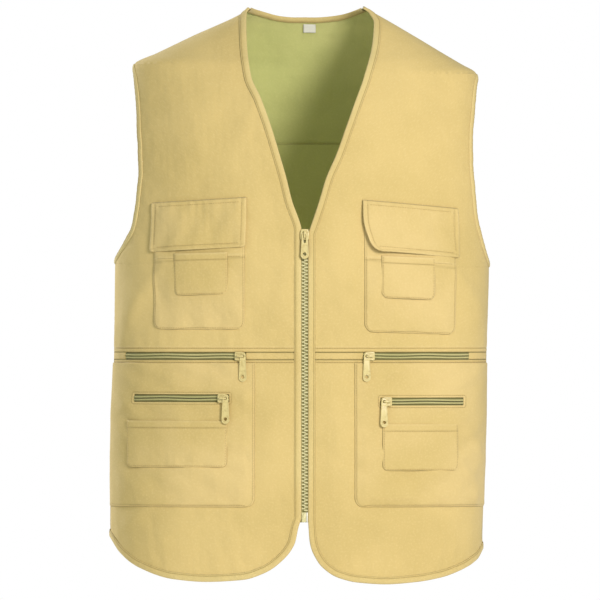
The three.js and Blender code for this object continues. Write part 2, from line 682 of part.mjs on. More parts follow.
function neckBand() {
  const steps = [...NECK_STATIONS.slice(1).reverse().map((s) => -s), ...NECK_STATIONS];
  const path = steps.map((share) => {
    const side = share < 0 ? 'right' : 'left';
    const z = backNeckHeight(share);
    return { angle: angleOf(share * neckPoint(side), z, 'back'), z };
  });
  return edgeStrip(path, NECK_BAND_WIDTH, -NECK_BAND_GAP - BAND_CLOTH, -NECK_BAND_GAP);
}

function backHemBand() {
  const path = shares(18).map((t) => {
    const angle = mix(seamAngle('right', 'back'), seamAngle('left', 'back'), t);
    return { angle, z: backHemHeight(angle) };
  });
  return edgeStrip(path, -HEM_BAND_WIDTH, SECOND_LAYER, BAND_TOP);
}

// Rows of a pocket from its top (0) to its bottom (1), with two more to round the corners
function pocketRows(count, height, corner) {
  const round = corner / height;
  return [...shares(count).slice(0, -1).map((t) => t * (1 - round)), 1 - round, 1 - 0.3 * round, 1];
}

function cornerInset(v, height, corner) {
  const rise = (1 - v) * height;
  if (rise >= corner) return 0;
  return corner - Math.sqrt(Math.max(0, corner ** 2 - (corner - rise) ** 2));
}

// Lines of a chest pocket: across runs from its inner edge outwards, in millimetres
function chestLines(side) {
  const fit = CHEST_FIT[side];
  const top = NECK_RISE - CHEST_POCKET_DROP - fit.lower;
  return {
    seam: (across) => top - fit.slope * across,
    foot: (across) => top - CHEST_POCKET_HEIGHT - fit.foot * across,
  };
}

// Slack of the chest pocket, none at its edges and under the flap seam
function chestLift(u, v) {
  return CHEST_POCKET_LIFT * Math.sin(Math.PI * u) * Math.sin(Math.PI * Math.min(1, v)) ** 2;
}

const pocketX = (side, across) => SIGN[side] * (CHEST_POCKET_INNER + across);

function chestPocket(side) {
  const lines = chestLines(side);
  const spot = (u, v) => {
    const inset = cornerInset(v, CHEST_POCKET_HEIGHT, CHEST_POCKET_CORNER);
    const across = mix(inset, CHEST_POCKET_WIDTH - inset, u);
    const z = mix(lines.seam(across) - CLOTH, lines.foot(across), v);
    const low = SECOND_LAYER + chestLift(across / CHEST_POCKET_WIDTH, v);
    return { angle: angleOf(pocketX(side, across), z), z, low, high: low + CLOTH };
  };
  return sheet(shares(10), pocketRows(7, CHEST_POCKET_HEIGHT, CHEST_POCKET_CORNER), spot);
}

// Pocket height share of a flap height share
const flapShare = (v) => (v * FLAP_HEIGHT) / CHEST_POCKET_HEIGHT;

function chestFlap(side) {
  const lines = chestLines(side);
  const spot = (u, v) => {
    const inset = cornerInset(v, FLAP_HEIGHT, FLAP_CORNER) * 0.8;
    const across = mix(inset - FLAP_OVERHANG, CHEST_POCKET_WIDTH + FLAP_OVERHANG * (1 + v) - inset, u);
    const z = lines.seam(across) - FLAP_HEIGHT * v;
    const lift = chestLift(Math.min(1, Math.max(0, across / CHEST_POCKET_WIDTH)), flapShare(v));
    const raised = CHEST_FIT[side].corner * (1 - u) ** 3 * v;
    const low = THIRD_LAYER + lift + raised + LAYER_GAP * v;
    return { angle: angleOf(pocketX(side, across), z), z, low, high: low + CLOTH };
  };
  return sheet(shares(10), [0, 0.35, 0.7, 1 - FLAP_CORNER / FLAP_HEIGHT, 1], spot);
}

function chestPatch(side) {
  const lines = chestLines(side);
  const spot = (u, v) => {
    const inset = cornerInset(v, CHEST_PATCH_HEIGHT, PATCH_CORNER);
    const across = CHEST_PATCH_INSET + mix(inset, CHEST_PATCH_WIDTH - inset, u);
    const top = lines.seam(CHEST_POCKET_WIDTH / 2) - FLAP_HEIGHT - CHEST_PATCH_BELOW_FLAP;
    const z = top - CHEST_PATCH_HEIGHT * v - CHEST_FIT[side].slope * 0.5 * (across - CHEST_POCKET_WIDTH / 2);
    const share = (lines.seam(across) - z) / (lines.seam(across) - lines.foot(across));
    const low = THIRD_LAYER + chestLift(across / CHEST_POCKET_WIDTH, share);
    return { angle: angleOf(pocketX(side, across), z), z, low, high: low + CLOTH };
  };
  return sheet(shares(7), pocketRows(3, CHEST_PATCH_HEIGHT, PATCH_CORNER), spot);
}

const LOWER_TOP = WAIST - LOWER_POCKET_BELOW_WAIST;
const pocketZipHeight = (side) => WAIST - POCKET_ZIP_DROP[side];

// Lift of a lower pocket: flat in the middle, sloping down at its edges
function lowerLift(side, x, z) {
  const slope = (distance, breadth) => Math.min(1, Math.max(0, distance / breadth));
  const inner = slope(x - LOWER_POCKET_INNER, LOWER_POCKET_BEVEL);
  const outer = slope(halfWidth(side, z) - x, LOWER_POCKET_BEVEL);
  const top = slope(LOWER_TOP - z, LOWER_TOP - pocketZipHeight(side) - ZIP_WINDOW / 2);
  const foot = slope(z - (LOWER_TOP - LOWER_POCKET_HEIGHT), LOWER_POCKET_BEVEL);
  return LOWER_POCKET_LIFT * Math.min(inner, outer) * Math.min(top, foot);
}

const pocketZipStations = (side) => {
  return shares(6).map((t) => POCKET_ZIP_INNER + POCKET_ZIP_LENGTH[side] * t);
};

function lowerPocket(side) {
  const zip = pocketZipHeight(side);
  const foot = LOWER_TOP - LOWER_POCKET_HEIGHT;
  const bevel = LOWER_POCKET_INNER + LOWER_POCKET_BEVEL;
  const stations = [
    LOWER_POCKET_INNER, bevel, ...pocketZipStations(side),
  ];
  const wideAtZip = halfWidth(side, zip);
  const zipEnd = POCKET_ZIP_INNER + POCKET_ZIP_LENGTH[side];
  const sideShares = frontStations(side, zipEnd / wideAtZip, 1).slice(1);
  const rows = [
    LOWER_TOP, mix(LOWER_TOP, zip, 0.5), zip + ZIP_WINDOW / 2, zip - ZIP_WINDOW / 2,
    ...shares(4).slice(1).map((t) => mix(zip - ZIP_WINDOW / 2, foot + LOWER_POCKET_BEVEL, t)),
    foot + 0.3 * LOWER_POCKET_CORNER, foot,
  ];
  const spot = (i, z) => {
    const wide = halfWidth(side, z);
    const inset = cornerInset((LOWER_TOP - z) / LOWER_POCKET_HEIGHT, LOWER_POCKET_HEIGHT, LOWER_POCKET_CORNER);
    const past = i - stations.length;
    let x = past < 0 ? stations[i] : sideShares[past] * wide;
    if (i === 0) x += inset;
    const low = SECOND_LAYER + lowerLift(side, x, z);
    const angle = x === wide ? seamAngle(side, 'front') : angleOf(SIGN[side] * x, z);
    return { angle, z, low, high: low + CLOTH };
  };
  const window = (i, j) => j === 2 && i >= 2 && i < stations.length - 1;
  return sheet([...stations, ...sideShares].map((_, i) => i), rows, spot, window);
}

function lowerPatch(side) {
  const top = pocketZipHeight(side) - LOWER_PATCH_BELOW_ZIP;
  const spot = (u, v) => {
    const inset = cornerInset(v, LOWER_PATCH_HEIGHT, PATCH_CORNER);
    const x = LOWER_PATCH_INNER + mix(inset, LOWER_PATCH_WIDTH[side] - inset, u);
    const z = top - LOWER_PATCH_HEIGHT * v;
    const low = THIRD_LAYER + lowerLift(side, x, z);
    return { angle: angleOf(SIGN[side] * x, z), z, low, high: low + CLOTH };
  };
  return sheet(shares(9), pocketRows(3, LOWER_PATCH_HEIGHT, PATCH_CORNER), spot);
}

// Level strip across one front through a list of distances. base(x, z) is what it lies on.
function levelStrip(side, z, distances, half, base, low, high) {
  const sections = distances.map((x) => {
    const corner = (up, height) => {
      const level = z + up * half;
      return clothPoint(angleOf(SIGN[side] * x, level), level, base(x, level) + height);
    };
    return [corner(-1, low), corner(-1, high), corner(1, high), corner(1, low)];
  });
  return loft(sections);
}

// Upright strip beside the middle of the front
function uprightStrip(side, from, to, inner, outer, low, high) {
  const count = Math.max(2, Math.round((from - to) / 26));
  const sections = shares(count).map((t) => {
    const z = mix(from, to, t);
    const corner = (x, height) => clothPoint(angleOf(SIGN[side] * x, z), z, height);
    return [corner(inner, low), corner(inner, high), corner(outer, high), corner(outer, low)];
  });
  return loft(sections);
}

// Half of the front zip's teeth: the two halves meet in a zigzag with a small gap
function teethHalf(side, from, to) {
  const count = 2 * Math.round((from - to) / TOOTH_PITCH);
  const sections = shares(count).map((t) => {
    const z = mix(from, to, t);
    const zig = Math.round(t * count) % 2 ? TOOTH_REACH : -TOOTH_REACH;
    const inner = zig + SIGN[side] * SEAM_GAP;
    const outer = SIGN[side] * (CHAIN_WIDTH / 2);
    const corner = (x, height) => clothPoint(angleOf(x, z), z, height);
    const low = SEAM_GAP - LAYER_GAP;
    return [corner(inner, low), corner(inner, CHAIN_HEIGHT), corner(outer, CHAIN_HEIGHT), corner(outer, low)];
  });
  return loft(sections);
}

// Solid for joining, from a closed geometry
function solidOf(geometry) {
  const bare = geometry.clone();
  bare.deleteAttribute('normal');
  bare.deleteAttribute('uv');
  const merged = mergeVertices(bare, 1e-4);
  const vertProperties = new Float32Array(merged.attributes.position.array);
  const triVerts = new Uint32Array(merged.index.array);
  return new wasm.Manifold(new wasm.Mesh({ numProp: 3, vertProperties, triVerts }));
}

function geometryOf(solid) {
  const { vertProperties, triVerts } = solid.getMesh();
  const geometry = new THREE.BufferGeometry();
  geometry.setAttribute('position', new THREE.BufferAttribute(vertProperties, 3));
  geometry.setIndex(new THREE.BufferAttribute(triVerts, 1));
  geometry.computeVertexNormals();
  return geometry;
}

function plate(shape, depth, curveSegments = 4) {
  return new THREE.ExtrudeGeometry(shape, { depth, bevelEnabled: false, curveSegments });
}

// Slider in its own frame: x along the zip, away from the coil, y across it, z off the cloth.
// seat is where its plate starts, slot is the room for its core between the cloth edges.
function slider(seat, slot) {
  const back = -SLIDER_LENGTH / 2;
  const front = SLIDER_LENGTH / 2;
  const outline = new THREE.Shape();
  outline.moveTo(back, -SLIDER_WIDTH / 2 + 1);
  outline.lineTo(back + 1, -SLIDER_WIDTH / 2);
  outline.lineTo(front * 0.35, -SLIDER_WIDTH / 2);
  outline.lineTo(front, -SLIDER_NOSE / 2);
  outline.lineTo(front, SLIDER_NOSE / 2);
  outline.lineTo(front * 0.35, SLIDER_WIDTH / 2);
  outline.lineTo(back + 1, SLIDER_WIDTH / 2);
  outline.lineTo(back, SLIDER_WIDTH / 2 - 1);
  outline.closePath();
  const top = plate(outline, SLIDER_PLATE);
  top.translate(0, 0, seat);

  const coreHalf = slot / 2 - SEAM_GAP;
  const core = new THREE.BoxGeometry(SLIDER_LENGTH - 2, 2 * coreHalf, seat + 0.5);
  core.translate(0, 0, (seat + 0.5) / 2);

  const opening = TAB_PLATE + 2 * TAB_CLEARANCE;
  const reach = BRIDGE_SPAN / 2 + BRIDGE_LEG / 2;
  const arch = new THREE.Shape();
  arch.moveTo(-reach, -0.5);
  arch.lineTo(-reach + BRIDGE_LEG, -0.5);
  arch.lineTo(-reach + BRIDGE_LEG, opening);
  arch.lineTo(reach - BRIDGE_LEG, opening);
  arch.lineTo(reach - BRIDGE_LEG, -0.5);
  arch.lineTo(reach, -0.5);
  arch.lineTo(reach, opening + BRIDGE_BAR * 0.5);
  arch.lineTo(reach - BRIDGE_BAR * 0.5, opening + BRIDGE_BAR);
  arch.lineTo(-reach + BRIDGE_BAR * 0.5, opening + BRIDGE_BAR);
  arch.lineTo(-reach, opening + BRIDGE_BAR * 0.5);
  arch.closePath();
  const bridge = plate(arch, BRIDGE_WIDTH);
  bridge.rotateX(Math.PI / 2);
  bridge.translate(0, BRIDGE_WIDTH / 2, seat + SLIDER_PLATE);
  return geometryOf(solidOf(top).add(solidOf(core)).add(solidOf(bridge)));
}

// Outline of a pull tab that hangs down from its eye at the origin
function tabOutline(drawTop) {
  const outline = new THREE.Shape();
  drawTop(outline);
  outline.absarc(0, -(TAB_LENGTH - TAB_END_RADIUS), TAB_END_RADIUS, 0, -Math.PI, true);
  outline.closePath();
  const hole = new THREE.Path();
  hole.absarc(0, -(TAB_LENGTH - TAB_END_RADIUS - 1), TAB_HOLE_RADIUS, 0, 2 * Math.PI);
  outline.holes.push(hole);
  return outline;
}

// Tab that swings on a leg of the bridge, in the plane of the cloth
function swingTab() {
  const outline = tabOutline((shape) => shape.absarc(0, 0, TAB_TOP_RADIUS, Math.PI, 0, true));
  const eye = new THREE.Path();
  eye.absarc(0, 0, TAB_EYE_RADIUS, 0, 2 * Math.PI);
  outline.holes.push(eye);
  return plate(outline, TAB_PLATE);
}

// Tab that flips up, with a slot that the bridge stands in
function flipTab() {
  const barHalf = FRONT_TAB_BAR / 2;
  const outline = tabOutline((shape) => {
    shape.moveTo(-TAB_TOP_RADIUS, -1);
    shape.lineTo(-TAB_TOP_RADIUS + 0.8, barHalf);
    shape.lineTo(TAB_TOP_RADIUS - 0.8, barHalf);
    shape.lineTo(TAB_TOP_RADIUS, -1);
  });
  const slot = new THREE.Path();
  const half = FRONT_SLOT_WIDTH / 2;
  slot.moveTo(-half, -barHalf);
  slot.lineTo(-half, -barHalf - FRONT_SLOT_LENGTH);
  slot.lineTo(half, -barHalf - FRONT_SLOT_LENGTH);
  slot.lineTo(half, -barHalf);
  slot.closePath();
  outline.holes.push(slot);
  const tab = plate(outline, TAB_PLATE);
  tab.translate(0, 0, -TAB_PLATE / 2);
  return tab;
}

// Group that stands on the cloth: z off it, and along the direction of the zip
function clothFrame(x, z, height, along) {
  const angle = angleOf(x, z);
  const normal = skinNormal(angle, z);
  const forward = along.clone().addScaledVector(normal, -along.dot(normal)).normalize();
  const across = new THREE.Vector3().crossVectors(normal, forward);
  const group = new THREE.Group();
  group.quaternion.setFromRotationMatrix(new THREE.Matrix4().makeBasis(forward, across, normal));
  group.position.copy(clothPoint(angle, z, height));
  vest.add(group);
  return group;
}

// A level zip: tape and coil behind a slot, slider at the inner end, tab hanging from it.
// stations are its distances from the inner to the outer end, base(x, z) the cloth's under side.
function levelZip(name, side, z, stations, base) {
  const inner = stations[0];
  const tapeHalf = ZIP_WINDOW / 2 + TAPE_MARGIN;
  const tapeTop = -LAYER_GAP;
  add(`${name}_tape_${side}`,
    levelStrip(side, z, stations, tapeHalf, base, tapeTop - TAPE_CLOTH, tapeTop), 'zip');
  const coilFrom = inner + SLIDER_LENGTH + 2 * SEAM_GAP;
  const coilLow = tapeTop + SEAM_GAP;
  const coilStations = [coilFrom, ...stations.filter((x) => x > coilFrom + 2)];
  coilStations[coilStations.length - 1] -= SEAM_GAP;
  add(`${name}_coil_${side}`,
    levelStrip(side, z, coilStations, COIL_WIDTH / 2, base, coilLow, coilLow + COIL_HEIGHT), 'zip');

  const middle = inner + SLIDER_LENGTH / 2 + SEAM_GAP;
  const along = new THREE.Vector3(-SIGN[side], 0, 0);
  const frame = clothFrame(SIGN[side] * middle, z, base(middle, z) + coilLow, along);
  const seat = CLOTH + LAYER_GAP - coilLow;
  add(`${name}_slider_${side}`, slider(seat, ZIP_WINDOW), 'metal', frame);
  const tab = add(`${name}_tab_${side}`, swingTab(), 'metal', frame);
  tab.position.set(BRIDGE_SPAN / 2, 0, seat + SLIDER_PLATE + TAB_CLEARANCE);
  const down = side === 'left' ? Math.PI : 0;
  tab.rotation.z = down;
}

for (const side of SIDES) {
  add(`front_upper_${side}`, frontUpper(side), 'fabric');
  add(`front_lower_${side}`, frontLower(side), 'fabric');
  const wide = halfWidth(side, WAIST);
  const stripStart = (FRONT_EDGE + EDGE_INSET) / wide;
  const zipEnd = waistZipEnd(side);
  add(`waist_strip_inner_${side}`,
    waistStrip(side, stripStart, (WAIST_ZIP_INNER - SEAM_GAP) / wide), 'fabric');
  add(`waist_strip_outer_${side}`, waistStrip(side, (zipEnd + SEAM_GAP) / wide, 1), 'fabric');
  add(`front_band_${side}`, frontBand(side), 'band');
  add(`armhole_band_${side}`, armholeBand(side), 'band');
  add(`chest_pocket_${side}`, chestPocket(side), 'fabric');
  add(`chest_flap_${side}`, chestFlap(side), 'fabric');
  add(`chest_patch_${side}`, chestPatch(side), 'fabric');
  add(`lower_pocket_${side}`, lowerPocket(side), 'fabric');
  add(`lower_patch_${side}`, lowerPatch(side), 'fabric');
  const waistStations = frontStations(side, WAIST_ZIP_INNER / wide, zipEnd / wide).map((s) => s * wide);
  levelZip('waist_zip', side, WAIST, waistStations, () => 0);
  const pocketBase = (x, z) => SECOND_LAYER + lowerLift(side, x, z);
  levelZip('pocket_zip', side, pocketZipHeight(side), pocketZipStations(side), pocketBase);
}

add('back_yoke', backYoke(), 'fabric');
add('back_body', backBody(), 'fabric');
add('neck_band', neckBand(), 'band');
add('hem_band_back', backHemBand(), 'band');

// Front zip: closed from its box up to the slider at the foot of the V
const SLIDER_HEIGHT = NECK_RISE - FRONT_ZIP_DROP;
const ZIP_END = SLIDER_HEIGHT - FRONT_ZIP_LENGTH;
const TEETH_TOP = SLIDER_HEIGHT - SLIDER_LENGTH / 2 - SEAM_GAP;
const TEETH_FOOT = ZIP_END + BOX_HEIGHT + SEAM_GAP;
for (const side of SIDES) {
  const tapeTop = SLIDER_HEIGHT + SLIDER_LENGTH / 2;
  const tape = uprightStrip(side, tapeTop, ZIP_END, SEAM_GAP, FRONT_TAPE_WIDTH,
    -LAYER_GAP - TAPE_CLOTH, -LAYER_GAP);
  add(`front_zip_tape_${side}`, tape, 'zip');
  add(`front_zip_teeth_${side}`, teethHalf(side, TEETH_TOP, TEETH_FOOT), 'zip');
}
const CHAIN_LOW = SEAM_GAP - LAYER_GAP;
const frontFrame = clothFrame(0, SLIDER_HEIGHT, CHAIN_LOW, new THREE.Vector3(0, 0, 1));
const frontSeat = BAND_TOP + LAYER_GAP - CHAIN_LOW;
add('front_zip_slider', slider(frontSeat, 2 * FRONT_EDGE), 'metal', frontFrame);
const frontTab = add('front_zip_tab', flipTab(), 'metal', frontFrame);
const barPlace = BRIDGE_SPAN / 2 - BRIDGE_LEG / 2 - FRONT_TAB_BAR / 2 - 2 * SEAM_GAP;
frontTab.position.set(barPlace, 0, frontSeat + SLIDER_PLATE + TAB_CLEARANCE + TAB_PLATE / 2);
frontTab.rotation.z = -Math.PI / 2;

const boxFrame = clothFrame(0, ZIP_END + BOX_HEIGHT / 2, CHAIN_LOW, new THREE.Vector3(0, 0, 1));
const boxBody = new THREE.BoxGeometry(BOX_HEIGHT, BOX_WIDTH, BOX_DEPTH);
const boxMesh = add('front_zip_box', boxBody, 'metal', boxFrame);
boxMesh.position.set(0, CHAIN_WIDTH / 2 - BOX_WIDTH / 2, BOX_DEPTH / 2);
const pinWidth = CHAIN_WIDTH - BOX_WIDTH - SEAM_GAP;
const pinBody = new THREE.BoxGeometry(BOX_HEIGHT, pinWidth, BOX_DEPTH * 0.8);
const pinMesh = add('front_zip_pin', pinBody, 'metal', boxFrame);
pinMesh.position.set(0, -CHAIN_WIDTH / 2 + pinWidth / 2, BOX_DEPTH * 0.4);

// Size label inside the back neck, below the neck band
function sizeLabel() {
  const top = -NECK_BAND_WIDTH - SEAM_GAP;
  const spot = (u, v) => {
    const z = top - LABEL_HEIGHT * v;
    const x = LABEL_SHIFT + (u - 0.5) * LABEL_WIDTH;
    return { angle: angleOf(x, z, 'back'), z, low: -LABEL_GAP - LABEL_CLOTH, high: -LABEL_GAP };
  };
  return sheet(shares(2), shares(1), spot);
}
add('size_label', sizeLabel(), 'label');

export default vest;
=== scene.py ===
"""Utility work vest: cloth, bands, pockets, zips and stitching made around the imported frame."""

import json
import logging
import math
from dataclasses import dataclass, field
from enum import Enum
from typing import Callable

import bmesh
import bpy
import numpy as np
from mathutils import Matrix, Vector


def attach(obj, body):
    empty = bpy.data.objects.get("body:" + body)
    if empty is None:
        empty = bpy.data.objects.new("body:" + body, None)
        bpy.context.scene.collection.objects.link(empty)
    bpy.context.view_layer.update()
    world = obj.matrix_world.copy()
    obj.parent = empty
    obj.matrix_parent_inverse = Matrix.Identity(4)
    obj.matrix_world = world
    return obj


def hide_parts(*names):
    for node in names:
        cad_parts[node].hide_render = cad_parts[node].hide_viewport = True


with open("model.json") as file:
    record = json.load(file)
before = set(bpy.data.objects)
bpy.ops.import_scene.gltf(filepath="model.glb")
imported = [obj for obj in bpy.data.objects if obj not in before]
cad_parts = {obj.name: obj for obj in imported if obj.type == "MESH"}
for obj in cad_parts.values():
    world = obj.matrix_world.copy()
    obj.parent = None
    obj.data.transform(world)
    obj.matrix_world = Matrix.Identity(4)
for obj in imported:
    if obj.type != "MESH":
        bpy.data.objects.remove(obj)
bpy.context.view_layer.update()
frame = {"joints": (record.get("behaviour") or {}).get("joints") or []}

log = logging.getLogger("vest")
Array = np.ndarray
Point = tuple[float, float, float]
Color = tuple[float, float, float, float]
Material, Mesh, Piece = bpy.types.Material, bpy.types.Mesh, bpy.types.Object
Node, Socket = bpy.types.Node, bpy.types.NodeSocket
Place = tuple[Array, Array, Array]
Surface = tuple[Array, Array]

MM = 0.001
# Sizes and heights in mm. Heights count from the origin of the frame
VEST_LENGTH = 700.0
HALF_WIDTH = 228.0
HALF_DEPTH = 118.0
NECK_RISE = 11.0
SECTION_POWER = 2.3
SEAM_GAP = 0.3
EDGE_INSET = 0.6
BACK_ARMHOLE_SHARE = 0.985
CLOTH_RISE = 1.2
SECOND_LAYER = 1.6
THIRD_LAYER = 3.2
BAND_TOP = 2.4
ZIP_WINDOW = 9.0
WAIST = NECK_RISE - 423.0
WAIST_TOP = WAIST + ZIP_WINDOW / 2
WAIST_FOOT = WAIST - ZIP_WINDOW / 2
YOKE_FOOT = NECK_RISE - 164.0
BACK_HEM = NECK_RISE - 619.0
FRONT_EDGE = 4.7
SLIDER_Z = NECK_RISE - 276.0
ZIP_END = SLIDER_Z - 348.0


class Side(Enum):
    """The wearer's sides; the value is the sign of X."""

    RIGHT = -1
    LEFT = 1

    @property
    def label(self) -> str:
        """Name used in node names."""
        return self.name.lower()


class Face(Enum):
    """Front or back of the body form; the value is the sign of the angle's sine."""

    FRONT = 1
    BACK = -1


@dataclass(frozen=True)
class Curve:
    """Smooth curve through points that never swings past them."""

    xs: tuple[float, ...]
    ys: tuple[float, ...]

    def __call__(self, x: Array | float) -> Array:
        """Values of the curve.

        Args:
            x: Where to read it.

        Returns:
            One value for each x.
        """
        xs, ys = np.array(self.xs), np.array(self.ys)
        rises = np.diff(ys) / np.diff(xs)
        slopes = np.concatenate([rises[:1], np.zeros(len(xs) - 2), rises[-1:]])
        product = rises[:-1] * rises[1:]
        total = rises[:-1] + rises[1:]
        good = product > 0
        slopes[1:-1][good] = 2 * product[good] / total[good]
        x = np.asarray(x, float)
        i = np.clip(np.searchsorted(xs, x) - 1, 0, len(xs) - 2)
        span = xs[i + 1] - xs[i]
        t = (x - xs[i]) / span
        start = (1 + 2 * t) * (1 - t) ** 2 * ys[i] + t * (1 - t) ** 2 * span * slopes[i]
        end = t * t * (3 - 2 * t) * ys[i + 1] + t * t * (t - 1) * span * slopes[i + 1]
        value = start + end
        value = np.where(x <= xs[0], ys[0] + (x - xs[0]) * slopes[0], value)
        return np.where(x >= xs[-1], ys[-1] + (x - xs[-1]) * slopes[-1], value)


def curve(rows: tuple[tuple[float, ...], ...], column: int) -> Curve:
    """Curve through one column of a table against its first column."""
    return Curve(tuple(row[0] for row in rows), tuple(row[column] for row in rows))


# Girth: drop (share of the length), right and left (of half the width), front and back (of half the depth)
SECTIONS = (
    (0.0, 0.289, 0.307, 0.12, 0.42), (0.009, 0.325, 0.362, 0.17, 0.475),
    (0.051, 0.601, 0.586, 0.39, 0.627), (0.08, 0.786, 0.734, 0.525, 0.703),
    (0.0985, 0.904, 0.83, 0.61, 0.746), (0.1157, 0.914, 0.912, 0.66, 0.771),
    (0.1757, 0.93, 0.934, 0.814, 0.856), (0.23, 0.947, 0.949, 0.907, 0.907),
    (0.3157, 0.963, 0.963, 0.983, 0.949), (0.4014, 0.991, 0.974, 1.008, 0.949),
    (0.4443, 1.006, 0.978, 1.008, 0.949), (0.5943, 1.011, 0.965, 0.966, 0.881),
    (0.7157, 1.026, 0.96, 0.958, 0.89), (0.83, 1.031, 0.951, 0.966, 0.915),
    (0.9443, 1.032, 0.943, 1.0, 0.949), (1.016, 1.032, 0.943, 1.017, 0.966),
)
# V neck edge: drop, right and left distance from the middle
NECK_EDGE = (
    (0.0, 0.286, 0.302), (0.01, 0.31, 0.345), (0.027, 0.313, 0.371), (0.058, 0.311, 0.365),
    (0.121, 0.287, 0.318), (0.162, 0.232, 0.274), (0.21, 0.179, 0.221), (0.254, 0.138, 0.173),
    (0.298, 0.099, 0.115), (0.335, 0.071, 0.081), (0.377, 0.025, 0.038), (0.41, 0.0, 0.0),
)
# Armhole edges from the shoulder tip to the underarm: drop, distance from the middle
ARMHOLE = {
    Side.RIGHT: (
        (0.0985, 0.904), (0.1275, 0.887), (0.162, 0.873), (0.205, 0.866), (0.248, 0.861), (0.283, 0.859),
        (0.317, 0.869), (0.355, 0.884), (0.388, 0.906), (0.411, 0.946), (0.43, 0.98), (0.4443, 1.006),
    ),
    Side.LEFT: (
        (0.1157, 0.912), (0.133, 0.897), (0.176, 0.882), (0.221, 0.871), (0.265, 0.871), (0.315, 0.884),
        (0.366, 0.903), (0.404, 0.932), (0.43, 0.957), (0.45, 0.978),
    ),
}
# Front hem: share of the way from the middle to the side seam, drop
FRONT_HEM = {
    Side.RIGHT: (
        (0.02, 0.885), (0.034, 0.899), (0.055, 0.929), (0.1145, 0.956), (0.2, 0.977), (0.319, 0.99),
        (0.507, 0.9935), (0.676, 0.989), (0.847, 0.97), (0.95, 0.943), (1.0, 0.918),
    ),
    Side.LEFT: (
        (0.021, 0.885), (0.0315, 0.926), (0.052, 0.946), (0.103, 0.969), (0.187, 0.986), (0.299, 0.9945),
        (0.4565, 0.9976), (0.625, 0.994), (0.774, 0.986), (0.886, 0.973), (0.97, 0.956), (1.0, 0.94),
    ),
}


@dataclass(frozen=True)
class Fold:
    """Soft fold: its middle in mm, its turn from upright towards +X, its reach and its height in mm."""

    face: Face
    x: float
    z: float
    tilt: float
    length: float
    breadth: float
    height: float

    def lift(self, x: Array, z: Array) -> Array:
        """Height of the fold at places of the cloth.

        Args:
            x: Distances from the middle, to the wearer's left.
            z: Heights.

        Returns:
            Heights of the fold.
        """
        turn = math.radians(self.tilt)
        dx, dz = x - self.x, z - self.z
        along = (dz * math.cos(turn) + dx * math.sin(turn)) / self.length
        over = (dx * math.cos(turn) - dz * math.sin(turn)) / self.breadth
        return self.height * np.exp(-along * along - over * over)


def solid_fold(face: Face, x: float, drop: float, tilt: float, length: float, breadth: float,
               height: float) -> Fold:
    """Fold that the solids have too, from shares of the body sizes."""
    return Fold(face, x * HALF_WIDTH, NECK_RISE - drop * VEST_LENGTH, tilt, length * VEST_LENGTH,
                breadth * VEST_LENGTH, height * 2 * HALF_DEPTH)


SOLID_FOLDS = (
    solid_fold(Face.FRONT, -0.93, 0.52, 24, 0.06, 0.02, 0.014),
    solid_fold(Face.FRONT, 0.9, 0.53, -22, 0.06, 0.02, 0.014),
    solid_fold(Face.FRONT, -0.56, 0.2, 14, 0.09, 0.036, 0.014),
    solid_fold(Face.FRONT, 0.6, 0.21, -16, 0.09, 0.036, 0.014),
    solid_fold(Face.FRONT, -0.18, 0.76, 4, 0.12, 0.03, 0.012),
    solid_fold(Face.FRONT, 0.17, 0.74, -5, 0.12, 0.03, 0.012),
    solid_fold(Face.BACK, -0.55, 0.62, 5, 0.2, 0.04, 0.03),
    solid_fold(Face.BACK, -0.1, 0.7, -3, 0.2, 0.045, 0.026),
    solid_fold(Face.BACK, 0.42, 0.65, -6, 0.2, 0.04, 0.03),
    solid_fold(Face.BACK, 0.05, 0.36, 80, 0.12, 0.035, 0.014),
)
# Creases that only the finished cloth has
CREASES = (
    Fold(Face.FRONT, 188, -545, -38, 42, 5, 1.6), Fold(Face.FRONT, 205, -520, -30, 36, 5, 1.3),
    Fold(Face.FRONT, 172, -590, -50, 40, 6, 1.2), Fold(Face.FRONT, -206, -468, 62, 30, 6, 1.2),
    Fold(Face.FRONT, -196, -600, 48, 40, 7, 1.2), Fold(Face.FRONT, -120, -610, 70, 60, 8, 1.0),
    Fold(Face.FRONT, 95, -618, -72, 55, 8, 1.0), Fold(Face.FRONT, -28, -330, 12, 60, 9, 0.9),
    Fold(Face.FRONT, 34, -300, -14, 60, 9, 0.9), Fold(Face.FRONT, -190, -330, 34, 50, 8, 1.5),
    Fold(Face.FRONT, 196, -330, -36, 50, 8, 1.5), Fold(Face.FRONT, -214, -380, 20, 40, 6, 1.2),
    Fold(Face.FRONT, 60, -120, -24, 60, 10, 1.2), Fold(Face.FRONT, -66, -120, 22, 60, 10, 1.2),
    Fold(Face.BACK, -120, -330, 28, 90, 13, 4.2), Fold(Face.BACK, 130, -330, -26, 90, 13, 4.2),
    Fold(Face.BACK, 20, -480, 12, 110, 15, 3.8), Fold(Face.BACK, -60, -560, -10, 80, 13, 3.2),
    Fold(Face.BACK, 90, -560, 14, 80, 13, 3.2), Fold(Face.BACK, 0, -110, 86, 90, 11, 1.6),
)


def ripple(x: Array, z: Array, length: float, seed: float) -> Array:
    """Smooth uneven ripple.

    Args:
        x: Places across, in mm.
        z: Places up, in mm.
        length: Typical distance from crest to crest, in mm.
        seed: Number that sets its pattern.

    Returns:
        Values between about -1 and 1.
    """
    total = np.zeros(np.broadcast(x, z).shape)
    for k in range(6):
        turn = seed * 1.7 + k * 2.39996
        wave = length * (1 + 0.35 * math.sin(seed + k * 1.3))
        phase = (x * math.cos(turn) + z * math.sin(turn)) * 2 * math.pi / wave + seed * 3.1 + k * k
        total += np.sin(phase + 0.8 * np.sin(phase * 0.31 + k))
    return total / 4


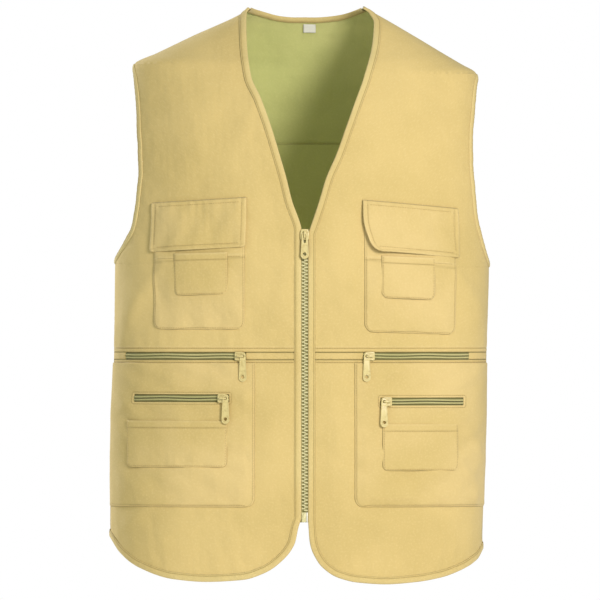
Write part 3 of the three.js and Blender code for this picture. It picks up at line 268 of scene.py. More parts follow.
class BodyForm:
    """The form of a torso that the vest hangs in; all the cloth lies on it. Sizes in mm."""

    right = curve(SECTIONS, 1)
    left = curve(SECTIONS, 2)
    front = curve(SECTIONS, 3)
    back = curve(SECTIONS, 4)
    neck = {Side.RIGHT: curve(NECK_EDGE, 1), Side.LEFT: curve(NECK_EDGE, 2)}
    armhole = {side: curve(rows, 1) for side, rows in ARMHOLE.items()}
    hem = {side: curve(rows, 1) for side, rows in FRONT_HEM.items()}
    # Sliders and tabs: the finished cloth has no creases of its own behind them
    calm = ((-78.0, -424.0), (78.0, -424.0), (-99.0, -476.0), (99.0, -480.0), (0.0, -276.0))
    calm_width = 20.0
    calm_height = 34.0

    @staticmethod
    def drop(z: Array | float) -> Array:
        """Share of the vest's length below the neck point."""
        return (NECK_RISE - np.asarray(z, float)) / VEST_LENGTH

    def half_width(self, side: Side, z: Array | float) -> Array:
        """Half width of the form on one side."""
        return HALF_WIDTH * (self.left if side is Side.LEFT else self.right)(self.drop(z))

    def half_depth(self, face: Face, z: Array | float) -> Array:
        """Half depth of the form, front or back."""
        return HALF_DEPTH * (self.front if face is Face.FRONT else self.back)(self.drop(z))

    def skin(self, angle: Array, z: Array) -> Array:
        """Points of the bare form.

        Args:
            angle: 0 at the wearer's left side, 90 degrees at the front.
            z: Heights.

        Returns:
            Points, three numbers each.
        """
        across, ahead = np.cos(angle), np.sin(angle)
        wide = np.where(across < 0, self.half_width(Side.RIGHT, z), self.half_width(Side.LEFT, z))
        deep = np.where(ahead > 0, self.half_depth(Face.FRONT, z), self.half_depth(Face.BACK, z))
        total = np.abs(across / wide) ** SECTION_POWER + np.abs(ahead / deep) ** SECTION_POWER
        radius = total ** (-1 / SECTION_POWER)
        return np.stack(np.broadcast_arrays(radius * across, -radius * ahead, z), -1)

    def normal(self, angle: Array, z: Array) -> Array:
        """Outward directions of the form.

        Args:
            angle: Angles about the form.
            z: Heights.

        Returns:
            Unit vectors.
        """
        turn, step = 0.002, 0.5
        around = self.skin(angle + turn, z) - self.skin(angle - turn, z)
        up = self.skin(angle, z + step) - self.skin(angle, z - step)
        out = np.cross(up, around)
        return out / np.linalg.norm(out, axis=-1, keepdims=True)

    def calmness(self, x: Array, z: Array) -> Array:
        """Share of the cloth's own relief that stays: none behind sliders and tabs.

        Args:
            x: Distances from the middle, to the wearer's left.
            z: Heights.

        Returns:
            Shares from 0 to 1.
        """
        share = np.ones(np.broadcast(x, z).shape)
        for cx, cz in self.calm:
            distance = ((x - cx) / self.calm_width) ** 2 + ((z - cz) / self.calm_height) ** 2
            share *= (1 - np.exp(-distance * distance))
        return share

    def drape(self, point: Array) -> Array:
        """Height of folds, creases and slack over the form.

        Args:
            point: Points of the bare form.

        Returns:
            One height for each point.
        """
        x, y, z = point[..., 0], point[..., 1], point[..., 2]
        ahead = y < 0
        inward = np.minimum(1, np.abs(y) / (HALF_DEPTH * 0.4))
        total = np.zeros(x.shape)
        for fold in SOLID_FOLDS:
            total += np.where(ahead == (fold.face is Face.FRONT), fold.lift(x, z), 0)
        own = np.zeros(x.shape)
        for crease in CREASES:
            own += np.where(ahead == (crease.face is Face.FRONT), crease.lift(x, z), 0)
        turned = np.where(ahead, x, -x + 400)
        own += 1.3 * ripple(turned, z * 0.55, 95, 1.3) + 0.45 * ripple(turned, z * 0.8, 34, 2.9)
        own += 0.16 * ripple(turned, z, 13, 4.1)
        return (total + own * np.where(ahead, self.calmness(x, z), 1)) * inward

    def cloth(self, angle: Array, z: Array, height: Array | float) -> Array:
        """Points of the cloth at heights over the form.

        Args:
            angle: Angles about the form.
            z: Heights.
            height: Heights over the form, without its folds.

        Returns:
            Points, three numbers each.
        """
        point = self.skin(angle, z)
        height = np.asarray(height) + self.drape(point)
        return point + self.normal(angle, z) * height[..., None]

    def angle_of(self, x: Array, z: Array, face: Face = Face.FRONT) -> Array:
        """Angle of the place that shows at x from the front or the back.

        Args:
            x: Distances from the middle, to the wearer's left.
            z: Heights.
            face: The side that it is seen from.

        Returns:
            Angles about the form.
        """
        x = np.asarray(x, float)
        wide = np.where(x < 0, self.half_width(Side.RIGHT, z), self.half_width(Side.LEFT, z))
        reach = np.minimum(1, np.abs(x) / wide)
        deep = self.half_depth(face, z) * (1 - reach ** SECTION_POWER) ** (1 / SECTION_POWER)
        return np.arctan2(face.value * deep, x)

    @staticmethod
    def seam_angle(side: Side, face: Face) -> float:
        """Angle of the side seam as one panel meets it."""
        gap = SEAM_GAP / 2 / HALF_WIDTH
        return face.value * (gap if side is Side.LEFT else math.pi - gap)

    def edge_x(self, side: Side, z: Array | float) -> Array:
        """Distance of a front edge from the middle."""
        return np.maximum(FRONT_EDGE, HALF_WIDTH * self.neck[side](self.drop(z)))

    @staticmethod
    def tip(side: Side) -> float:
        """Height of the shoulder tip."""
        return NECK_RISE - ARMHOLE[side][0][0] * VEST_LENGTH

    @staticmethod
    def underarm(side: Side) -> float:
        """Height of the underarm."""
        return NECK_RISE - ARMHOLE[side][-1][0] * VEST_LENGTH

    def back_share(self, side: Side, z: Array) -> Array:
        """How far out the back's armhole lies as a share of the front's."""
        way = (self.tip(side) - z) / (self.tip(side) - self.underarm(side))
        return 1 - (1 - BACK_ARMHOLE_SHARE) * np.sin(np.pi * np.clip(way, 0, 1))

    def outer_angle(self, side: Side, face: Face, z: Array, inset: float = 0.0) -> Array:
        """Angle of a panel's outer edge: shoulder seam, armhole, side seam.

        Args:
            side: The wearer's side.
            face: Front or back panel.
            z: Heights.
            inset: How far the cloth ends before the edge.

        Returns:
            Angles about the form.
        """
        z = np.asarray(z, float)
        share = self.back_share(side, z) if face is Face.BACK else 1.0
        x = HALF_WIDTH * self.armhole[side](self.drop(z)) * share - inset
        x = np.minimum(x, self.half_width(side, z))
        hole = self.angle_of(side.value * x, z, face)
        whole = (z >= self.tip(side)) | (z <= self.underarm(side))
        return np.where(whole, self.seam_angle(side, face), hole)

    def front_hem(self, side: Side, across: Array | float) -> Array:
        """Height of the front hem at a share of the half width."""
        return NECK_RISE - self.hem[side](across) * VEST_LENGTH

    def back_hem(self, angle: Array) -> Array:
        """Height of the back hem."""
        cosine = np.cos(angle)
        foot = np.where(cosine < 0, self.front_hem(Side.RIGHT, 1.0), self.front_hem(Side.LEFT, 1.0))
        return BACK_HEM + (foot - BACK_HEM) * np.abs(cosine) ** 3


FORM = BodyForm()
BACK_SHIFT = float(FORM.half_depth(Face.BACK, 0.0))


def to_frame(points: Array) -> Array:
    """Points of the form in the row frame, in metres."""
    moved = np.array(points, float)
    moved[..., 1] -= BACK_SHIFT
    return moved * MM


def mix(a: Array | float, b: Array | float, t: Array | float) -> Array:
    """Value between a and b at the share t."""
    return a + (b - a) * t


def ease(x: Array) -> Array:
    """Smooth step from 0 to 1 over the range 0 to 1."""
    t = np.clip(x, 0, 1)
    return t * t * (3 - 2 * t)


def ridge(distance: Array, place: float, breadth: float) -> Array:
    """Rounded ridge of height 1 along a line at a distance from an edge."""
    return np.exp(-(((distance - place) / breadth) ** 2))


def stations(length: float, coarse: float, fine: float = 0.6, start: bool = True,
             end: bool = True) -> Array:
    """Distances along a cloth, closer together at its edges.

    Args:
        length: Whole distance, in mm.
        coarse: Step in the middle.
        fine: Step at the edges.
        start: Whether the start is an edge.
        end: Whether the end is an edge.

    Returns:
        Rising distances from 0 to the length.
    """
    def edge_steps() -> list[float]:
        """Steps at one edge, from the fine one to the coarse one."""
        steps, step, total = [], fine, 0.0
        while step < coarse and total < length * 0.4:
            steps.append(step)
            total += step
            step = fine if total < 3.6 else step * 1.35
        return steps

    head = edge_steps() if start else []
    tail = edge_steps() if end else []
    middle = length - sum(head) - sum(tail)
    count = max(1, round(middle / coarse))
    steps = head + [middle / count] * count + tail[::-1]
    places = np.concatenate([[0.0], np.cumsum(steps)])
    return places * (length / places[-1])


def line_lengths(grid: Array, axis: int) -> Array:
    """Distances along the lines of a grid of points, from its first row or column.

    Args:
        grid: Points by row and column.
        axis: 0 to go down the columns, 1 to go along the rows.

    Returns:
        One distance for each point.
    """
    steps = np.linalg.norm(np.diff(grid, axis=axis), axis=-1)
    zero = np.zeros_like(np.take(steps, [0], axis=axis))
    return np.concatenate([zero, np.cumsum(steps, axis=axis)], axis=axis)


# Finishes


def linear(red: int, green: int, blue: int) -> Color:
    """Scene colour of a screen colour."""
    def part(value: int) -> float:
        """Linear share of one channel."""
        share = value / 255
        return share / 12.92 if share <= 0.04045 else ((share + 0.055) / 1.055) ** 2.4

    return (part(red), part(green), part(blue), 1.0)


class Nodes:
    """Small helper that builds one material's node tree."""

    def __init__(self, name: str) -> None:
        """Starts a material with a single principled shader."""
        self.material = bpy.data.materials.new(name)
        self.material.use_nodes = True
        self.tree = self.material.node_tree
        self.shader = self.tree.nodes["Principled BSDF"]

    def add(self, kind: str, inputs: dict | None = None, **settings: object) -> Node:
        """Adds a node.

        Args:
            kind: Node type without its ShaderNode prefix.
            inputs: Values or output sockets for its input sockets.
            settings: Properties of the node.

        Returns:
            The new node.
        """
        node = self.tree.nodes.new("ShaderNode" + kind)
        for key, value in settings.items():
            setattr(node, key, value)
        for key, value in (inputs or {}).items():
            if isinstance(value, Socket):
                self.tree.links.new(value, node.inputs[key])
            else:
                node.inputs[key].default_value = value
        return node

    def blend(self, share: object, first: object, second: object) -> Socket:
        """Mix of two colours; returns its colour output."""
        return self.add("Mix", {0: share, 6: first, 7: second}, data_type="RGBA").outputs[2]

    def math(self, operation: str, first: object, second: object = 0.0) -> Socket:
        """Result of one sum on two values."""
        return self.add("Math", {0: first, 1: second}, operation=operation).outputs[0]

    def mask(self, node: Node, low: float, high: float, share: float = 1.0) -> Socket:
        """Smooth mask from a node's factor: 0 at low and a share at high.

        Args:
            node: Node with the factor.
            low: Factor where the mask starts.
            high: Factor where it is full.
            share: Value of the full mask.

        Returns:
            Output socket of the mask.
        """
        spread = {"Value": node.outputs["Fac"], "From Min": low, "From Max": high}
        smooth = self.add("MapRange", spread, interpolation_type="SMOOTHSTEP")
        return self.math("MULTIPLY", smooth.outputs[0], share)

    def finish(self, color: Socket, bump: Socket,
               **values: float) -> Material:
        """Joins colour and relief to the shader and sets its even values.

        Args:
            color: Output with the colour.
            bump: Output with the relief.
            values: The shader's other values, by socket name with underscores.

        Returns:
            The finished material.
        """
        self.tree.links.new(color, self.shader.inputs["Base Color"])
        self.tree.links.new(bump, self.shader.inputs["Normal"])
        for key, value in values.items():
            socket = key.replace("_", " ").title().replace("Ior", "IOR")
            self.shader.inputs[socket].default_value = value
        return self.material


@dataclass(frozen=True)
class TwillFinish:
    """Woven cotton twill: fine slanted ribs and thread flecks, with painted highlights on ridges and
    painted shade in seam grooves and along edges.
    """

    name: str
    color: Color
    shade: Color
    glow: Color
    rib: float = 0.0011
    relief: float = 0.3

    def build(self) -> Material:
        """Makes the material."""
        n = Nodes(self.name)
        place = n.add("TexCoord")
        weave = n.add("Mapping", {"Vector": place.outputs["UV"], "Rotation": (0.0, 0.0, 0.32)})
        bands = 2 * math.pi / 10 / self.rib
        twill = n.add("TexWave", {"Vector": weave.outputs[0], "Scale": bands, "Distortion": 0.6,
                                  "Detail": 1.0, "Detail Scale": 0.6},
                      wave_type="BANDS", bands_direction="DIAGONAL")
        picks = n.add("TexWave", {"Vector": place.outputs["UV"], "Scale": bands * 1.4, "Distortion": 1.2},
                      wave_type="BANDS", bands_direction="X")
        threads = n.math("ADD", twill.outputs["Fac"], n.math("MULTIPLY", picks.outputs["Fac"], 0.4))
        cloud = n.add("TexNoise", {"Vector": place.outputs["Object"], "Scale": 7.0, "Detail": 4.0})
        fleck = n.add("TexNoise", {"Vector": place.outputs["UV"], "Scale": 420.0, "Detail": 3.0})
        slub = n.add("Mapping", {"Vector": place.outputs["UV"], "Scale": (38.0, 900.0, 1.0)})
        slubs = n.add("TexNoise", {"Vector": slub.outputs[0], "Scale": 1.0, "Detail": 2.0})
        tone = n.add("Attribute", attribute_name="tone", attribute_type="GEOMETRY")
        color = n.blend(n.mask(cloud, 0.36, 0.66), self.color, self.shade)
        color = n.blend(n.mask(fleck, 0.45, 0.75, 0.22), color, self.glow)
        color = n.blend(n.mask(slubs, 0.55, 0.8, 0.16), color, self.shade)
        # Painted shade and painted highlight: where the grid's shading attribute is below 0 the cloth
        # darkens towards a deep shade colour, in seam grooves and along edges; above 0 it lightens, on
        # ridges and rolled edges.
        dark = (self.shade[0] * 0.42, self.shade[1] * 0.42, self.shade[2] * 0.36, 1.0)
        for share, other in ((-1.0, dark), (0.8, self.glow)):
            part = n.math("MULTIPLY", tone.outputs["Fac"], share)
            color = n.blend(n.math("MAXIMUM", part, 0.0), color, other)
        crumple = n.add("TexNoise", {"Vector": place.outputs["Object"], "Scale": 62.0, "Detail": 4.0})
        coarse = n.add("Bump", {"Height": crumple.outputs["Fac"], "Strength": 0.5, "Distance": 0.0016})
        fine = n.add("Bump", {"Height": threads, "Strength": self.relief, "Distance": 0.00022,
                              "Normal": coarse.outputs[0]})
        return n.finish(color, fine.outputs[0], roughness=0.88, sheen_weight=0.12, sheen_roughness=0.5,
                        specular_ior_level=0.18)


@dataclass(frozen=True)
class CoatFinish:
    """Smooth hard finish: enamel or moulded plastic, a little worn and mottled."""

    name: str
    color: Color
    worn: Color
    roughness: float = 0.35
    coat: float = 0.3
    grain: float = 900.0

    def build(self) -> Material:
        """Makes the material."""
        n = Nodes(self.name)
        place = n.add("TexCoord")
        spots = n.add("TexNoise", {"Vector": place.outputs["Object"], "Scale": 260.0, "Detail": 4.0})
        fine = n.add("TexNoise", {"Vector": place.outputs["Object"], "Scale": self.grain, "Detail": 2.0})
        color = n.blend(n.mask(spots, 0.48, 0.74), self.color, self.worn)
        bump = n.add("Bump", {"Height": fine.outputs["Fac"], "Strength": 0.12, "Distance": 0.0002})
        rough = n.add("MapRange", {"Value": spots.outputs["Fac"], "To Min": self.roughness - 0.06,
                                   "To Max": self.roughness + 0.12})
        n.tree.links.new(rough.outputs[0], n.shader.inputs["Roughness"])
        return n.finish(color, bump.outputs[0], coat_weight=self.coat, coat_roughness=0.2)


@dataclass(frozen=True)
class ThreadFinish:
    """Twisted sewing thread."""

    name: str
    color: Color
    dark: Color

    def build(self) -> Material:
        """Makes the material."""
        n = Nodes(self.name)
        place = n.add("TexCoord")
        twist = n.add("TexWave", {"Vector": place.outputs["Object"], "Scale": 1200.0, "Distortion": 1.0},
                      wave_type="BANDS", bands_direction="DIAGONAL")
        color = n.blend(n.math("MULTIPLY", twist.outputs["Fac"], 0.5), self.color, self.dark)
        bump = n.add("Bump", {"Height": twist.outputs["Fac"], "Strength": 0.3, "Distance": 0.0001})
        return n.finish(color, bump.outputs[0], roughness=0.6, sheen_weight=0.1)


class Finishes:
    """All the materials of the vest."""

    def __init__(self) -> None:
        """Builds each material once."""
        khaki, shade, glow = linear(208, 182, 119), linear(198, 173, 110), linear(226, 204, 150)
        # Inside of the cloth: a greener copy of the khaki twill; its greener colour is painted shade, for
        # the green-tinted shade inside the vest.
        painted_shade_olive, painted_shade_moss, painted_shade_sage = linear(207, 203, 134), linear(193, 194, 124), linear(217, 211, 148)
        self.cloth = TwillFinish("khaki_twill", khaki, shade, glow).build()
        self.pocket = TwillFinish("pocket_twill", linear(210, 184, 124), shade, glow).build()
        self.band = TwillFinish("binding_twill", linear(205, 183, 121), shade, glow, 0.0009).build()
        # Painted shade: the greener copy of the cloth, for all inner faces.
        self.inside = TwillFinish("inside_twill", painted_shade_olive, painted_shade_moss, painted_shade_sage).build()
        # Zip tape: khaki with a green tint of painted shade, for the shade that it lies in behind the slots
        # and the front edges.
        self.tape = TwillFinish("zip_tape", linear(188, 178, 122), linear(170, 164, 108),
                                linear(210, 200, 150), 0.0007, 0.4).build()
        self.coil = CoatFinish("zip_coil", linear(206, 197, 146), linear(184, 176, 124), 0.45, 0.1).build()
        self.enamel = CoatFinish("khaki_enamel", linear(208, 190, 128), linear(190, 170, 108)).build()
        self.thread = ThreadFinish("sewing_thread", linear(176, 148, 88), linear(132, 108, 60)).build()
        self.label = TwillFinish("label_weave", linear(236, 234, 224), linear(224, 221, 208),
                                 linear(240, 238, 228), 0.0006, 0.3).build()
        self.pale_pin = CoatFinish("pale_pin", linear(226, 222, 204), linear(212, 206, 186),
                                   0.4, 0.2).build()


# Mesh building


def new_object(name: str, mesh: Mesh, *materials: Material) -> Piece:
    """Adds a mesh to the scene as an object at the origin.

    Args:
        name: Name of the piece.
        mesh: Its mesh, in metres.
        materials: Its materials, in order.

    Returns:
        The new object.
    """
    for material in materials:
        mesh.materials.append(material)
    piece = bpy.data.objects.new(name, mesh)
    bpy.context.scene.collection.objects.link(piece)
    return piece


def thicken(piece: Piece, thickness: float) -> bpy.types.Modifier:
    """Gives a sheet its thickness in mm, inwards from its outer face.

    Args:
        piece: The sheet.
        thickness: Thickness in mm.

    Returns:
        The modifier.
    """
    wall = piece.modifiers.new("thickness", "SOLIDIFY")
    wall.thickness = thickness * MM
    wall.offset = -1
    return wall


def grid_mesh(name: str, points: Array, woven: Array, tone: Array, out: Array,
              gone: Callable[[int, int], bool] | None = None) -> Mesh:
    """Smooth mesh of a cloth from a grid of its points.

    Args:
        name: Name of the mesh.
        points: Points in metres, by row and column.
        woven: Distances along the cloth for its UV map, in mm.
        tone: Painted highlight above 0, on ridges and rolled edges; painted shade below 0, in seam grooves
            and along edges.
        out: Directions that its faces look in, or zeros where they don't count.
        gone: Whether the cell after a column and a row is left open.

    Returns:
        Mesh with its UV map and its tone attribute.
    """
    down, across = points.shape[0] - 1, points.shape[1] - 1
    bm = bmesh.new()
    bmesh.ops.create_grid(bm, x_segments=across, y_segments=down, size=0.5)
    if gone:
        middles = [(face, face.calc_center_median()) for face in bm.faces]
        holes = [f for f, m in middles if gone(int((m.x + 0.5) * across), int((0.5 - m.y) * down))]
        bmesh.ops.delete(bm, geom=holes, context="FACES")
    for face in bm.faces:
        face.smooth = True
    mesh = bpy.data.meshes.new(name)
    bm.to_mesh(mesh)
    bm.free()
    spots = np.empty(len(mesh.vertices) * 3)
    mesh.vertices.foreach_get("co", spots)
    spots = spots.reshape(-1, 3)
    i = np.rint((spots[:, 0] + 0.5) * across).astype(int)
    j = np.rint((0.5 - spots[:, 1]) * down).astype(int)
    mesh.vertices.foreach_set("co", points[j, i].ravel())
    corner = np.empty(len(mesh.loops), int)
    mesh.loops.foreach_get("vertex_index", corner)
    mesh.uv_layers.new(name="cloth").data.foreach_set("uv", (woven * MM)[j, i][corner].ravel())
    # Painted shade and highlight for each corner, read by the cloth's material.
    shades = mesh.attributes.new("tone", "FLOAT", "POINT")
    shades.data.foreach_set("value", tone[j, i].astype(np.float32))
    mesh.update()
    normals = np.empty(len(mesh.vertices) * 3)
    mesh.vertices.foreach_get("normal", normals)
    if np.sum(normals.reshape(-1, 3) * out[j, i]) < 0:
        mesh.flip_normals()
    return mesh


Locate = Callable[[Array, Array], Place]
Relief = Callable[[Array, Array, Array, Array], Surface]


@dataclass
class ClothSheet:
    """One cut of cloth on a grid.

    locate gives angle, height z and layer height of grid places. relief gives extra height and the painted
    shade and highlight from the distances along the cloth to its four edges: start, end, top and foot.
    """

    name: str
    columns: Array
    rows: Array
    locate: Locate
    relief: Relief
    opening: Callable[[float, float], bool] | None = None
    thickness: float = 0.9
    made: tuple[Array, Array] | None = None

    def build(self, outside: Material, inside: Material) -> Piece:
        """Makes the cloth.

        Args:
            outside: Finish of the outer side and edges.
            inside: Finish of the side towards the wearer.

        Returns:
            The new object, with its thickness as a live modifier.
        """
        angle, z, layer = np.broadcast_arrays(*self.locate(*np.meshgrid(self.columns, self.rows)))
        flat = FORM.cloth(angle, z, layer)
        across, down = line_lengths(flat, 1), line_lengths(flat, 0)
        lift, tone = self.relief(across, across[:, -1:] - across, down, down[-1:] - down)
        points, out = to_frame(FORM.cloth(angle, z, layer + lift)), FORM.normal(angle, z)
        self.made = (points, out)
        mesh = grid_mesh(self.name, points, np.stack([across, -down], -1),
                         np.broadcast_to(tone, across.shape), out, self._open if self.opening else None)
        piece = new_object(self.name, mesh, outside, inside)
        wall = thicken(piece, self.thickness)
        wall.material_offset = 1
        wall.material_offset_rim = 0
        return piece

    def along(self, u: Array, v: Array) -> tuple[Array, Array]:
        """Points and outward directions of the made cloth.

        Args:
            u: Column values.
            v: Row values.

        Returns:
            Points in metres and directions, one for each pair of values.
        """
        way = np.sign(self.rows[-1] - self.rows[0])
        i = np.interp(u, self.columns, np.arange(len(self.columns)))
        j = np.interp(np.asarray(v) * way, self.rows * way, np.arange(len(self.rows)))
        i0 = np.minimum(i.astype(int), len(self.columns) - 2)
        j0 = np.minimum(j.astype(int), len(self.rows) - 2)
        across, down = (i - i0)[:, None], (j - j0)[:, None]
        found = []
        for grid in self.made:
            upper = mix(grid[j0, i0], grid[j0, i0 + 1], across)
            lower = mix(grid[j0 + 1, i0], grid[j0 + 1, i0 + 1], across)
            found.append(mix(upper, lower, down))
        return found[0], found[1]

    def _open(self, i: int, j: int) -> bool:
        """Whether the cell after a column and a row is left open."""
        u = (self.columns[i] + self.columns[i + 1]) / 2
        v = (self.rows[j] + self.rows[j + 1]) / 2
        return self.opening(u, v)


def fit(piece: Piece, body: str, node: str, slot: str) -> None:
    """Says which body a piece rides on and which node it replaces.

    Args:
        piece: The piece.
        body: The body that it rides on.
        node: The node that it replaces.
        slot: Not used.
    """
    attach(piece, body)
    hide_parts(node)
    log.info("%s: %d corners", piece.name, len(piece.data.vertices))


def wear(piece: Piece, node: str, slot: str) -> None:
    """Says what a cloth piece stands for and that it rides on the vest.

    Args:
        piece: The piece.
        node: The node that it replaces.
        slot: Not used.
    """
    fit(piece, "vest", node, slot)


class Stitching:
    """Rows of topstitching, gathered into one piece of thread."""

    pitch = 3.0
    length = 2.1
    radius = 0.26
    sides = 5
    proud = 0.08

    def __init__(self, name: str) -> None:
        """Starts with no stitches."""
        self.name = name
        self.bm = bmesh.new()
        self.count = 0

    def row(self, angle: Array, z: Array, height: Array | float) -> None:
        """Adds a row of stitches along places of the form."""
        angle, z, height = np.broadcast_arrays(np.asarray(angle, float), z, height)
        self.line(to_frame(FORM.cloth(angle, z, height)), FORM.normal(angle, z))

    def on(self, sheet: ClothSheet, u: Array, v: Array) -> None:
        """Adds a row of stitches on a made sheet."""
        points, normals = sheet.along(u, v)
        self.line(points + normals * (self.proud * MM), normals)

    def around(self, sheet: ClothSheet, place: float, width: float, height: float, top: bool = False,
               skip: float = 0.02) -> None:
        """Adds rows near the sides, the foot and perhaps the top of a made sheet.

        Args:
            sheet: The sheet, with shares of its size as column and row values.
            place: Distance of the rows from the edges, in mm.
            width: Width of the sheet, in mm.
            height: Height of the sheet, in mm.
            top: Whether it has a row near its top.
            skip: Share of the height where its sides start without a row at the top.
        """
        u0, v0 = place / width, place / height
        v = np.linspace(v0 if top else skip, 1 - v0 * 1.5, 40)
        u = np.linspace(u0 * 1.5, 1 - u0 * 1.5, 60)
        lines = [(np.full(40, u0), v), (np.full(40, 1 - u0), v), (u, np.full(60, 1 - v0))]
        if top:
            lines.append((u, np.full(60, v0)))
        for across, down in lines:
            self.on(sheet, across, down)

    def level(self, sheet: ClothSheet, v: float) -> None:
        """Adds a level row across a made sheet at one row value."""
        u = np.linspace(0.05, 0.95, 50)
        self.on(sheet, u, np.full(50, v))

    def line(self, points: Array, normals: Array) -> None:
        """Adds a row of stitches along points in the row frame.

        Args:
            points: Line, in metres.
            normals: Outward directions at its points.
        """
        run = line_lengths(points, 0)
        count = int(run[-1] / (self.pitch * MM))
        for k in range(count):
            middle = (k + 0.5) * run[-1] / count
            ends = [middle - self.length / 2 * MM, middle + self.length / 2 * MM]
            first, last = (Vector([np.interp(s, run, points[:, c]) for c in range(3)]) for s in ends)
            out = Vector([np.interp(middle, run, normals[:, c]) for c in range(3)])
            along = (last - first).normalized()
            side = out.cross(along).normalized()
            turn = Matrix((side, along.cross(side), along)).transposed().to_4x4()
            place = Matrix.Translation((first + last) / 2) @ turn
            bmesh.ops.create_cone(self.bm, cap_ends=True, segments=self.sides, radius1=self.radius * MM,
                                  radius2=self.radius * MM, depth=self.length * MM, matrix=place)
        self.count += count

    def build(self, thread: Material) -> Piece:
        """Makes the piece of thread."""
        mesh = bpy.data.meshes.new(self.name)
        self.bm.to_mesh(mesh)
        self.bm.free()
        piece = new_object(self.name, mesh, thread)
        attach(piece, "vest")
        log.info("%s: %d stitches", self.name, self.count)
        return piece


def rolled(distance: Array, depth: float = 0.8, reach: float = 0.9) -> Array:
    """Turned edge of cloth: sinks towards what is under it."""
    return -depth * np.exp(-((distance / reach) ** 2))


def sewn(distance: Array, place: float, along: Array, seed: float, depth: float = 0.45) -> Array:
    """Groove under a row of stitches, with small puckers beside it.

    Args:
        distance: Distance from the cloth's edge.
        place: Distance of the row from that edge.
        along: Distance along the row.
        seed: Number that sets the puckers.
        depth: Depth of the groove.

    Returns:
        Height to add.
    """
    groove = -depth * ridge(distance, place, 0.75)
    wave = np.sin(along * 0.62 + 1.7 * np.sin(along * 0.13 + seed) + seed)
    pucker = 0.2 * wave * np.exp(-np.abs(distance - place) / 5.0) * (1 - ridge(distance, place, 0.9))
    return groove + pucker


def rolls(depth: float, *distances: Array) -> Array:
    """Turned edges of one depth at several edges."""
    return sum(rolled(distance, depth) for distance in distances)


def ridges(place: float, breadth: float, *distances: Array) -> Array:
    """Ridges of height 1 at one distance from several edges."""
    return sum(ridge(distance, place, breadth) for distance in distances)


def sewn_on(a: Array, b: Array, c: Array, d: Array, place: float, seed: float, top: float = 0.0) -> Array:
    """Height of a piece that is sewn on along its sides and its foot.

    Args:
        a: Distance from its start.
        b: Distance from its end.
        c: Distance from its top.
        d: Distance from its foot.
        place: Distance of the stitches from the edges.
        seed: Number that sets the puckers.
        top: Depth of the turned edge at its top.

    Returns:
        Height to add.
    """
    height = rolls(1.5, a, b, d) + rolled(c, top)
    return height + sewn(a, place, c, seed) + sewn(b, place, c, seed + 1) + sewn(d, place, a, seed + 2)


@dataclass(frozen=True)
class Gathers:
    """Small gathers that fade away from a seam. Sizes in mm, paces in radians for each mm."""

    height: float
    pace: float
    reach: float
    start: float = 0.0
    rise: float = 5.0
    sway: float = 0.0
    sway_pace: float = 0.0

    def lift(self, along: Array, away: Array, phase: float = 0.0) -> Array:
        """Height of the gathers.

        Args:
            along: Distance along the seam.
            away: Distance from the edge.
            phase: Angle that shifts them along the seam.

        Returns:
            Height to add.
        """
        wave = np.sin(along * self.pace + self.sway * np.sin(along * self.sway_pace) + phase)
        return self.height * wave * np.exp(-away / self.reach) * ease((away - self.start) / self.rise)


# Sub-assemblies


